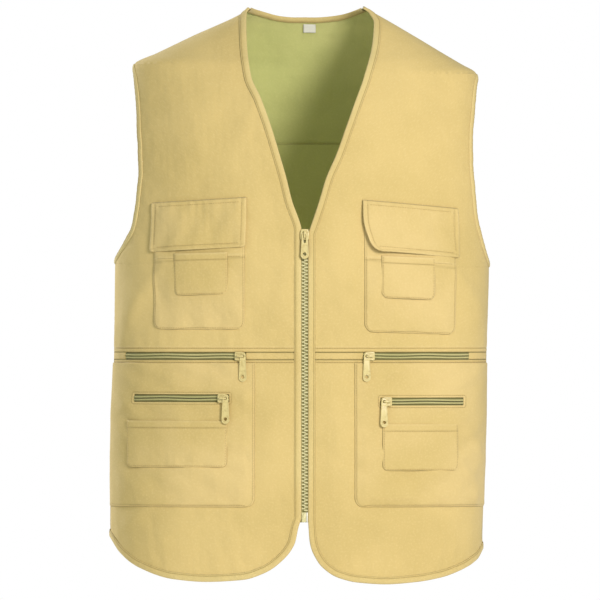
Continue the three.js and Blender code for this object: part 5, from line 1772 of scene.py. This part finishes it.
    def patch(self, side: Side) -> ClothSheet:
        """Patch pocket below the zip."""
        width = self.patch_width[side]
        columns = stations(width, 1.9) / width
        rows = stations(self.patch_height, 1.7) / self.patch_height
        top = self.zip_z(side) - self.patch_below
        seed = 13.0 + side.value

        def locate(u: Array, v: Array) -> Place:

            """Angle, height and layer of grid places."""
            inset = corner_inset((1 - v) * self.patch_height, self.patch_corner)
            x = self.patch_inner + mix(inset, width - inset, u)
            z = top - self.patch_height * v
            return FORM.angle_of(side.value * x, z), z, THIRD_LAYER + CLOTH_RISE + self.slack(side, x, z)

        def relief(a: Array, b: Array, c: Array, d: Array) -> Surface:

            """Height over the layer, and painted shade and highlight."""
            height = sewn_on(a, b, c, d, self.patch_stitch, seed, 0.5) - 0.4 * ridge(c, self.patch_hem, 0.9)
            height += 0.6 * np.sin(np.pi * np.clip(a / width, 0, 1)) * ease(c / 9)
            pull = self.patch_gathers.lift(a, d, seed)
            tone = -0.6 * ridges(0, 0.9, a, b, d) - 0.3 * ridge(c, self.patch_hem, 0.8)
            tone += 0.3 * ridge(a, 1.4, 0.9) + 0.2 * ridge(c, 1.2, 1)
            return height + pull, tone

        return ClothSheet(f"twill_lower_patch_{side.label}", columns, rows, locate, relief)

    def build(self, finishes: Finishes) -> None:
        """Makes both lower pockets."""
        for side in Side:
            tag = side.label
            bag = self.bag(side)
            wear(bag.build(finishes.pocket, finishes.cloth), f"lower_pocket_{tag}", "pocket_cloth")
            patch = self.patch(side)
            wear(patch.build(finishes.pocket, finishes.cloth), f"lower_patch_{tag}", "pocket_cloth")
            thread = Stitching(f"thread_lower_{tag}")
            foot = self.top - self.height
            thread.on(bag, np.full(80, self.inner + self.stitch), np.linspace(self.top - 2, foot + 9, 80))
            thread.on(bag, np.linspace(self.inner + 9, 210, 80), np.full(80, foot + self.stitch))
            zip_z, zip_end = self.zip_z(side), self.zip_inner + self.zip_length[side]
            beyond = ZIP_WINDOW / 2 + self.slot_stitch
            for z in (zip_z + beyond, zip_z - beyond):
                thread.on(bag, np.linspace(self.zip_inner - 2, zip_end + 2, 80), np.full(80, z))
            for s_end in (self.zip_inner - self.slot_stitch, zip_end + self.slot_stitch):
                thread.on(bag, np.full(12, s_end), np.linspace(zip_z + 6.6, zip_z - 6.6, 12))
            thread.around(patch, self.patch_stitch, self.patch_width[side], self.patch_height)
            thread.level(patch, self.patch_hem / self.patch_height)
            thread.build(finishes.thread)


# Zips


@dataclass(frozen=True)
class Seat:
    """Place on the cloth with its own axes: forward along a zip, across it, and off the cloth."""

    matrix: Matrix

    @classmethod
    def at(cls, x: float, z: float, height: float, along: Point) -> "Seat":
        """Seat at a place of the front.

        Args:
            x: Distance from the middle, in mm.
            z: Height, in mm.
            height: Height over the form, in mm.
            along: Direction of the zip.

        Returns:
            The seat, in the row frame and metres.
        """
        angle, level = FORM.angle_of(np.array([x]), z), np.array([z])
        out = Vector(FORM.normal(angle, level)[0])
        way = Vector(along)
        forward = (way - out * way.dot(out)).normalized()
        place = Vector(to_frame(FORM.cloth(angle, level, np.array([height])))[0])
        turn = Matrix((forward, out.cross(forward), out)).transposed().to_4x4()
        return cls(Matrix.Translation(place) @ turn)

    def moved(self, x: float, y: float, z: float, turn: float = 0.0) -> Matrix:
        """Matrix of a place in this seat, in mm, turned about its outward axis."""
        return self.matrix @ Matrix.Translation(Vector((x, y, z)) * MM) @ Matrix.Rotation(turn, 4, "Z")


Outline = list[tuple[float, float]]


def arc(x: float, y: float, radius: float, start: float, end: float, count: int) -> Outline:
    """Points of an arc, angles in degrees."""
    turns = np.radians(np.linspace(start, end, count))
    return [(x + radius * math.cos(t), y + radius * math.sin(t)) for t in turns]


def flat_plate(outlines: list[Outline], depth: float, edge: float, base: float) -> Mesh:
    """Flat plate with rounded edges from an outline and its holes.

    Args:
        outlines: Outer line first, then holes, in mm.
        depth: Whole thickness, in mm.
        edge: Radius of its rounded edges, in mm.
        base: Height of its lower face, in mm.

    Returns:
        Mesh in metres.
    """
    data = bpy.data.curves.new("plate", "CURVE")
    data.dimensions = "2D"
    data.fill_mode = "BOTH"
    data.extrude = (depth / 2 - edge) * MM
    data.bevel_depth = edge * MM
    data.bevel_resolution = 2
    data.offset = -edge * MM
    for outline in outlines:
        spline = data.splines.new("POLY")
        spline.points.add(len(outline) - 1)
        for point, (x, y) in zip(spline.points, outline):
            point.co = (x * MM, y * MM, 0, 1)
        spline.use_cyclic_u = True
    holder = bpy.data.objects.new("plate", data)
    mesh = bpy.data.meshes.new_from_object(holder)
    bpy.data.objects.remove(holder)
    bpy.data.curves.remove(data)
    mesh.transform(Matrix.Translation((0, 0, (base + depth / 2) * MM)))
    return mesh


def gather(name: str, parts: list[tuple[Mesh, Matrix]],
           finish: Material) -> Piece:
    """One object from several meshes, each in its place.

    Args:
        name: Name of the piece.
        parts: Meshes and where they stand.
        finish: Its material.

    Returns:
        The new object.
    """
    bm = bmesh.new()
    for mesh, place in parts:
        mesh.transform(place)
        bm.from_mesh(mesh)
        bpy.data.meshes.remove(mesh)
    bmesh.ops.remove_doubles(bm, verts=bm.verts, dist=0.000005)
    for face in bm.faces:
        face.smooth = face.normal.length > 0
        face.material_index = 0
    joined = bpy.data.meshes.new(name)
    bm.to_mesh(joined)
    bm.free()
    joined.set_sharp_from_angle(angle=math.radians(38))
    return new_object(name, joined, finish)


def block(size: Point, middle: Point, edge: float) -> Mesh:
    """Rounded block, sizes in mm.

    Args:
        size: Length along each axis.
        middle: Its middle.
        edge: Radius of its edges.

    Returns:
        Mesh in metres.
    """
    bm = bmesh.new()
    place = Matrix.Translation(Vector(middle) * MM) @ Matrix.Diagonal((*(s * MM for s in size), 1.0))
    bmesh.ops.create_cube(bm, size=1.0, matrix=place)
    bmesh.ops.bevel(bm, geom=bm.edges[:], offset=edge * MM, segments=2, profile=0.5, affect="EDGES",
                    material=-1)
    mesh = bpy.data.meshes.new("block")
    bm.to_mesh(mesh)
    bm.free()
    return mesh


@dataclass
class Slider:
    """Slider body with its bridge, and the sizes that its tab shares."""

    length: float = 13.0
    width: float = 10.6
    nose: float = 7.0
    plate: float = 2.4
    span: float = 7.0
    leg: float = 1.8
    bar: float = 1.2
    bridge: float = 2.0
    tab_plate: float = 1.4
    clearance: float = 0.45

    def parts(self, seat: float, slot: float) -> list[Mesh]:
        """Meshes of the slider: plate, raised flanges, core, wings and bridge."""
        back, front, half, nose = -self.length / 2, self.length / 2, self.width / 2, self.nose / 2
        outline = [
            (back, -half + 1.4), (back + 0.5, -half + 0.5), (back + 1.4, -half), (front * 0.3, -half),
            (front * 0.65, -half + 0.6), (front - 0.5, -nose - 0.4), (front, -nose + 0.8),
        ]
        outline += [(x, -y) for x, y in reversed(outline)]
        top = flat_plate([outline], self.plate, 0.5, seat)
        rims = [block((self.length * 0.62, 1.3, 0.8), (-1.6, y, seat + self.plate), 0.3)
                for y in (half - 1.2, -half + 1.2)]
        core = block((self.length - 2, slot - 0.6, seat + 0.5), (0, 0, (seat + 0.5) / 2), 0.3)
        opening = self.tab_plate + 2 * self.clearance
        reach, inner = self.span / 2 + self.leg / 2, self.span / 2 - self.leg / 2
        rise = opening + self.bar
        arch = [(-reach, -0.4), (-inner, -0.4), (-inner, opening - 0.3), (-inner + 0.3, opening)]
        arch += [(inner - 0.3, opening), (inner, opening - 0.3), (inner, -0.4), (reach, -0.4)]
        arch += [(reach, rise - 1.0), (reach - 0.4, rise - 0.3), (reach - 1.1, rise)]
        arch += [(-reach + 1.1, rise), (-reach + 0.4, rise - 0.3), (-reach, rise - 1.0)]
        bridge = flat_plate([arch], self.bridge, 0.3, -self.bridge / 2)
        foot = Matrix.Translation((0, 0, (seat + self.plate) * MM))
        bridge.transform(foot @ Matrix.Rotation(math.pi / 2, 4, "X"))
        return [top, *rims, core, bridge]

    def tab_level(self, seat: float) -> float:
        """Height of a tab's under side over the seat."""
        return seat + self.plate + self.clearance


@dataclass
class Tab:
    """Pull tab: a plate with a raised rim, an eye or slot at its top and a hole at its end."""

    length: float = 31.0
    plate: float = 1.4
    rim_step: float = 0.45
    rim_base: float = 0.35
    eye: float = 1.9
    top: float = 3.5
    end: float = 4.8
    hole: float = 2.1
    slot_width: float = 3.0
    slot_length: float = 11.0
    bar: float = 1.3

    def _end(self, inset: float) -> Outline:
        """Rounded end of the outline, pulled in by an inset."""
        return arc(0, -(self.length - self.end), self.end - inset, 0, -180, 19)

    def parts(self, slotted: bool) -> list[Mesh]:
        """Meshes of a tab that hangs from its eye at the origin."""
        hole_y = -(self.length - self.end - 1)
        hole = arc(0, hole_y, self.hole, 0, 345, 24)
        if slotted:
            half, bar = self.slot_width / 2, self.bar / 2
            head = [(-self.top, -1.2), (-self.top + 0.5, bar - 0.3), (-self.top + 1.1, bar)]
            head += [(-x, y) for x, y in reversed(head)]
            eye = [(-half, -bar), (half, -bar), (half, -bar - self.slot_length + 1)]
            eye += [(half - 0.7, -bar - self.slot_length), (-half + 0.7, -bar - self.slot_length)]
            eye += [(-half, -bar - self.slot_length + 1)]
            well_top = -self.slot_length - 3.4
        else:
            head = arc(0, 0, self.top, 180, 0, 15)
            eye = arc(0, 0, self.eye, 0, 345, 20)
            well_top = -self.top - 1.8
        neck = mix(self.top, self.end, 0.5) - 1.1
        well = [(-neck, well_top), (neck, well_top)] + self._end(1.25)
        rise = self.plate - self.rim_base
        plate = flat_plate([head + self._end(0), eye, hole], self.plate - self.rim_step, 0.3, 0)
        rim = flat_plate([head + self._end(0), eye, well], rise, 0.3, self.rim_base)
        ring = flat_plate([arc(0, hole_y, self.hole + 1.0, 0, 345, 24), hole], rise, 0.3, self.rim_base)
        return [plate, rim, ring]


@dataclass
class LevelZip:
    """Level zip behind a slot: tapes with their coils, slider at the inner end, tab hanging from it."""

    name: str
    side: Side
    z: float
    inner: float
    length: float
    base: Callable[[Array, Array], Array]
    slider: Slider = field(default_factory=Slider)
    rib: float = 0.62
    coil_low: float = -0.1

    # Cross-section of a half: distance from the middle, height, and painted shade and highlight, darkest at
    # the slot's edges and in the groove between the coils
    SECTION = (
        (0.2, -0.7, -1.2), (0.34, 0.2, -1.1), (0.8, 1.0, -0.1), (1.6, 1.3, 0.25), (2.4, 1.05, 0.15),
        (2.9, 0.35, -0.5), (3.15, -0.35, -1.3), (4.4, -0.45, -1.4), (7.0, -0.5, -0.8), (10.4, -0.5, 0.0),
    )

    def half(self, up: int) -> ClothSheet:
        """Tape and coil of the upper or lower half."""
        count = int(self.length / self.rib)
        columns = self.inner + np.linspace(0, self.length, count + 1)
        rows = np.arange(len(self.SECTION), dtype=float)
        table = np.array(self.SECTION)

        def locate(x: Array, k: Array) -> Place:

            """Angle, height and layer of grid places."""
            row = k.astype(int)
            z = self.z + up * table[row, 0]
            wave = 0.35 * np.sin(x * 0.09 + self.side.value) * (row < 6)
            height = table[row, 1] + self.base(x, z)
            return FORM.angle_of(self.side.value * x, z + wave), z + wave, height

        def relief(a: Array, b: Array, c: Array, d: Array) -> Surface:

            """Height over the layer, and painted shade and highlight."""
            k = np.broadcast_to(np.arange(len(rows))[:, None], a.shape)
            odd = np.broadcast_to(np.arange(len(columns))[None, :] % 2, a.shape)
            on_coil = (k >= 1) & (k <= 5)
            height = np.where(on_coil, -0.22 * odd, 0.0)
            # Painted shade between the coil's ribs, on every other column.
            tone = table[k, 2] - 0.25 * odd * on_coil
            return height, tone

        word = "upper" if up > 0 else "lower"
        return ClothSheet(f"coil_{self.name}_{word}_{self.side.label}", columns, rows, locate, relief,
                          thickness=0.35)

    def build(self, finishes: Finishes) -> None:
        """Makes the zip."""
        tag = self.side.label
        nodes = {1: f"{self.name}_tape_{tag}", -1: f"{self.name}_coil_{tag}"}
        for up, node in nodes.items():
            tape = self.half(up).build(finishes.tape, finishes.tape)
            wear(tape, node, "zip_tape")
        middle = self.inner + self.slider.length / 2 + SEAM_GAP
        x = self.side.value * middle
        height = float(self.base(np.array(middle), np.array(self.z))) + self.coil_low
        seat = Seat.at(x, self.z, height, (-self.side.value, 0.0, 0.0))
        level = 1.6 - self.coil_low
        slider, pull = f"{self.name}_slider_{tag}", f"{self.name}_tab_{tag}"
        parts = [(mesh, seat.matrix) for mesh in self.slider.parts(level, ZIP_WINDOW)]
        body = gather(f"metal_{slider}", parts, finishes.enamel)
        fit(body, "vest", slider, "zip_metal")
        turn = math.pi if self.side is Side.LEFT else 0.0
        place = seat.moved(self.slider.span / 2, 0, self.slider.tab_level(level), turn)
        tab = gather(f"metal_{pull}", [(mesh, place) for mesh in Tab().parts(False)], finishes.enamel)
        fit(tab, pull, pull, "zip_metal")
        report_pivot(pull, place)


def report_pivot(body: str, place: Matrix) -> None:
    """Logs how far a tab's eye lies from the axis that it turns about."""
    for joint in frame["joints"]:
        if joint["child"] == body:
            gap = (Vector(joint["pos_m"]) - place.to_translation()).length
            log.info("%s: eye %.2f mm from its axis", body, gap / MM)


@dataclass
class FrontZip:
    """Front zip of moulded teeth, with its slider, tab, box and pin."""

    chain: float = 7.6
    pitch: float = 4.2
    tooth: float = 1.75
    tape: float = 14.0
    box_height: float = 12.0
    box_width: float = 5.4
    low: float = -0.1
    slider: Slider = field(default_factory=Slider)

    def tape_half(self, side: Side) -> ClothSheet:
        """Woven tape behind one front edge."""
        top, foot = SLIDER_Z + 6.5, ZIP_END
        columns = SEAM_GAP + stations(self.tape - SEAM_GAP, 1.5, 0.6)
        rows = top - stations(top - foot, 2.4, 0.8)

        def locate(x: Array, z: Array) -> Place:

            """Angle, height and layer of grid places."""
            return FORM.angle_of(side.value * x, z), z, np.full(z.shape, -0.45)

        def relief(a: Array, b: Array, c: Array, d: Array) -> Surface:

            """Height over the layer, and painted shade all over the tape, which lies in shade behind the
            front edges.
            """
            return 0.1 * np.sin(a * 3.1), np.full(a.shape, -0.4)

        return ClothSheet(f"tape_front_{side.label}", columns, rows, locate, relief, thickness=0.6)

    def teeth(self, side: Side, finish: Material) -> None:
        """Moulded teeth of one side, each with a head that reaches over the middle."""
        top, foot = SLIDER_Z - 7.2, ZIP_END + self.box_height + 0.6
        shift = self.pitch / 2 if side is Side.LEFT else 0.0
        parts = []
        for k in range(int((top - foot) / self.pitch)):
            z = top - k * self.pitch - shift - 1.0
            if z < foot + 0.8:
                continue
            seat = Seat.at(0.0, z, 0.0, (0.0, 0.0, 1.0))
            way = -side.value
            root = block((self.tooth, 2.7, 2.0), (0, way * 2.35, 0.75), 0.25)
            head = block((self.tooth * 0.95, 2.0, 1.9), (0, way * 0.15, 0.75), 0.45)
            neck = block((self.tooth * 0.6, 1.6, 1.5), (0, way * 1.1, 0.7), 0.2)
            parts += [(mesh, seat.matrix) for mesh in (root, head, neck)]
        piece = gather(f"teeth_front_{side.label}", parts, finish)
        fit(piece, "vest", f"front_zip_teeth_{side.label}", "zip_coil")

    def build(self, finishes: Finishes) -> None:
        """Makes the front zip."""
        for side in Side:
            wear(self.tape_half(side).build(finishes.tape, finishes.tape),
                 f"front_zip_tape_{side.label}", "zip_tape")
            self.teeth(side, finishes.coil)
        seat = Seat.at(0.0, SLIDER_Z, self.low, (0.0, 0.0, 1.0))
        level = BAND_TOP + 0.4 - self.low
        parts = [(mesh, seat.matrix) for mesh in self.slider.parts(level, 2 * FRONT_EDGE)]
        body = gather("metal_front_slider", parts, finishes.enamel)
        fit(body, "vest", "front_zip_slider", "zip_metal")
        bar_place = self.slider.span / 2 - self.slider.leg / 2 - Tab().bar / 2 - 2 * SEAM_GAP
        place = seat.moved(bar_place, 0, self.slider.tab_level(level), -math.pi / 2)
        tab = gather("metal_front_tab", [(mesh, place) for mesh in Tab().parts(True)], finishes.enamel)
        fit(tab, "front_zip_tab", "front_zip_tab", "zip_metal")
        axis_level = self.slider.tab_level(level) + Tab().plate / 2
        report_pivot("front_zip_tab", seat.moved(bar_place, 0, axis_level))
        self.lower_end(finishes)

    def lower_end(self, finishes: Finishes) -> None:
        """Makes the box and the pin at the foot of the zip."""
        foot = Seat.at(0.0, ZIP_END + self.box_height / 2, self.low, (0.0, 0.0, 1.0)).matrix
        box_y = self.chain / 2 - self.box_width / 2
        box = gather("zip_box", [
            (block((self.box_height, self.box_width, 2.6), (0, box_y, 1.3), 0.5), foot),
            (block((self.box_height - 4, self.box_width - 2.2, 0.5), (-0.6, box_y, 2.6), 0.2), foot),
        ], finishes.coil)
        fit(box, "vest", "front_zip_box", "zip_coil")
        pin_width = self.chain - self.box_width - SEAM_GAP
        pin_y = -self.chain / 2 + pin_width / 2
        shape = block((self.box_height, pin_width, 2.1), (0, pin_y, 1.05), 0.45)
        fit(gather("zip_pin", [(shape, foot)], finishes.pale_pin), "vest", "front_zip_pin", "zip_coil")


@dataclass
class SizeLabel:
    """Plain woven label inside the back neck."""

    width: float = 15.0
    height: float = 10.0
    shift: float = 6.0
    top: float = -7.3

    def build(self, finishes: Finishes) -> None:
        """Makes the label, with a ridge where it is sewn on."""
        columns = stations(self.width, 0.9, 0.5)
        rows = stations(self.height, 0.9, 0.5)

        def locate(s: Array, v: Array) -> Place:

            """Angle, height and layer of grid places."""
            z = self.top - v
            x = self.shift + s - self.width / 2
            curl = 0.5 * (v / self.height) ** 2
            return FORM.angle_of(x, z, Face.BACK), z, -0.75 - curl

        def relief(a: Array, b: Array, c: Array, d: Array) -> Surface:

            """Height over the layer, and painted shade along the edges."""
            return 0.25 * ridge(c, 1.4, 0.5), -0.25 * ridges(0, 0.7, a, b, d)

        sheet = ClothSheet("woven_label", columns, rows, locate, relief, thickness=0.45)
        piece = sheet.build(finishes.label, finishes.label)
        wear(piece, "size_label", "label")


@dataclass
class Studio:
    """Camera, lights, pale background and floor."""

    distance: float = 18.0
    frame_width: float = 0.7254
    aim_x: float = -0.0057
    aim_z: float = -0.3442
    front: float = -0.17
    floor_z: float = -0.76
    floor_radius: float = 0.85
    ambient: Color = (0.44, 0.49, 0.46, 1.0)

    def camera(self) -> None:
        """Long lens straight at the front."""
        data = bpy.data.cameras.new("camera")
        data.sensor_width = 36.0
        data.lens = 36.0 * self.distance / self.frame_width
        data.clip_end = 100.0
        camera = bpy.data.objects.new("camera", data)
        camera.location = (self.aim_x, self.front - self.distance, self.aim_z)
        camera.rotation_euler = (math.pi / 2, 0, 0)
        bpy.context.scene.collection.objects.link(camera)
        bpy.context.scene.camera = camera

    @staticmethod
    def light(name: str, place: Point, size: float, power: float,
              color: Point) -> None:
        """Soft square light that points at the middle of the vest."""
        data = bpy.data.lights.new(name, "AREA")
        data.size = size
        data.energy = power
        data.color = color
        lamp = bpy.data.objects.new(name, data)
        lamp.location = place
        aim = Vector((0, -0.06, -0.33)) - Vector(place)
        lamp.rotation_euler = aim.to_track_quat("-Z", "Y").to_euler()
        bpy.context.scene.collection.objects.link(lamp)

    def build(self) -> None:
        """Makes the studio."""
        self.camera()
        scene = bpy.context.scene
        scene.view_settings.view_transform = "Standard"
        world = bpy.data.worlds.new("studio")
        world.use_nodes = True
        background = world.node_tree.nodes["Background"]
        path = world.node_tree.nodes.new("ShaderNodeLightPath")
        # The camera sees plain white; the cloth is lit by the ambient colour
        mixer = world.node_tree.nodes.new("ShaderNodeMix")
        mixer.data_type = "RGBA"
        mixer.inputs[6].default_value = self.ambient
        mixer.inputs[7].default_value = (1.0, 1.0, 1.0, 1.0)
        world.node_tree.links.new(path.outputs["Is Camera Ray"], mixer.inputs[0])
        world.node_tree.links.new(mixer.outputs[2], background.inputs["Color"])
        scene.world = world
        self.light("key", (1.02, -2.1, 0.32), 0.6, 45.0, (1.0, 0.955, 0.965))
        self.light("fill", (-2.6, -2.4, 0.2), 2.2, 12.0, (0.94, 1.0, 1.0))
        self.light("back", (-2.3, 2.2, 0.9), 0.8, 95.0, (1.0, 0.96, 0.95))
        self.floor()
        log.info("studio made")

    def floor(self) -> None:
        """Pale round floor below the vest."""
        bm = bmesh.new()
        place = Matrix.Translation((0, -0.06, self.floor_z))
        bmesh.ops.create_circle(bm, cap_ends=True, segments=96, radius=self.floor_radius, matrix=place)
        mesh = bpy.data.meshes.new("floor")
        bm.to_mesh(mesh)
        bm.free()
        pale = bpy.data.materials.new("pale_floor")
        pale.use_nodes = True
        pale.node_tree.nodes["Principled BSDF"].inputs["Base Color"].default_value = (0.9, 0.9, 0.89, 1.0)
        new_object("floor", mesh, pale)


def main() -> None:
    """Builds the vest piece by piece."""
    logging.basicConfig(level=logging.INFO, format="%(name)s: %(message)s")
    Studio().build()
    finishes = Finishes()
    fronts, back = FrontPanels(), BackPanels()
    fronts.build(finishes)
    back.build(finishes)
    EdgeBands().build(finishes, back)
    ChestPocket().build(finishes)
    lower = LowerPocket()
    lower.build(finishes)
    for side in Side:
        LevelZip("waist_zip", side, WAIST, fronts.inner_zip, fronts.zip_length[side],
                 lambda x, z: np.zeros(np.broadcast(x, z).shape)).build(finishes)
        LevelZip("pocket_zip", side, lower.zip_z(side), lower.zip_inner, lower.zip_length[side],
                 lambda x, z, s=side: SECOND_LAYER + lower.slack(s, x, z)).build(finishes)
    FrontZip().build(finishes)
    SizeLabel().build(finishes)


if __name__ == "__main__":
    main()
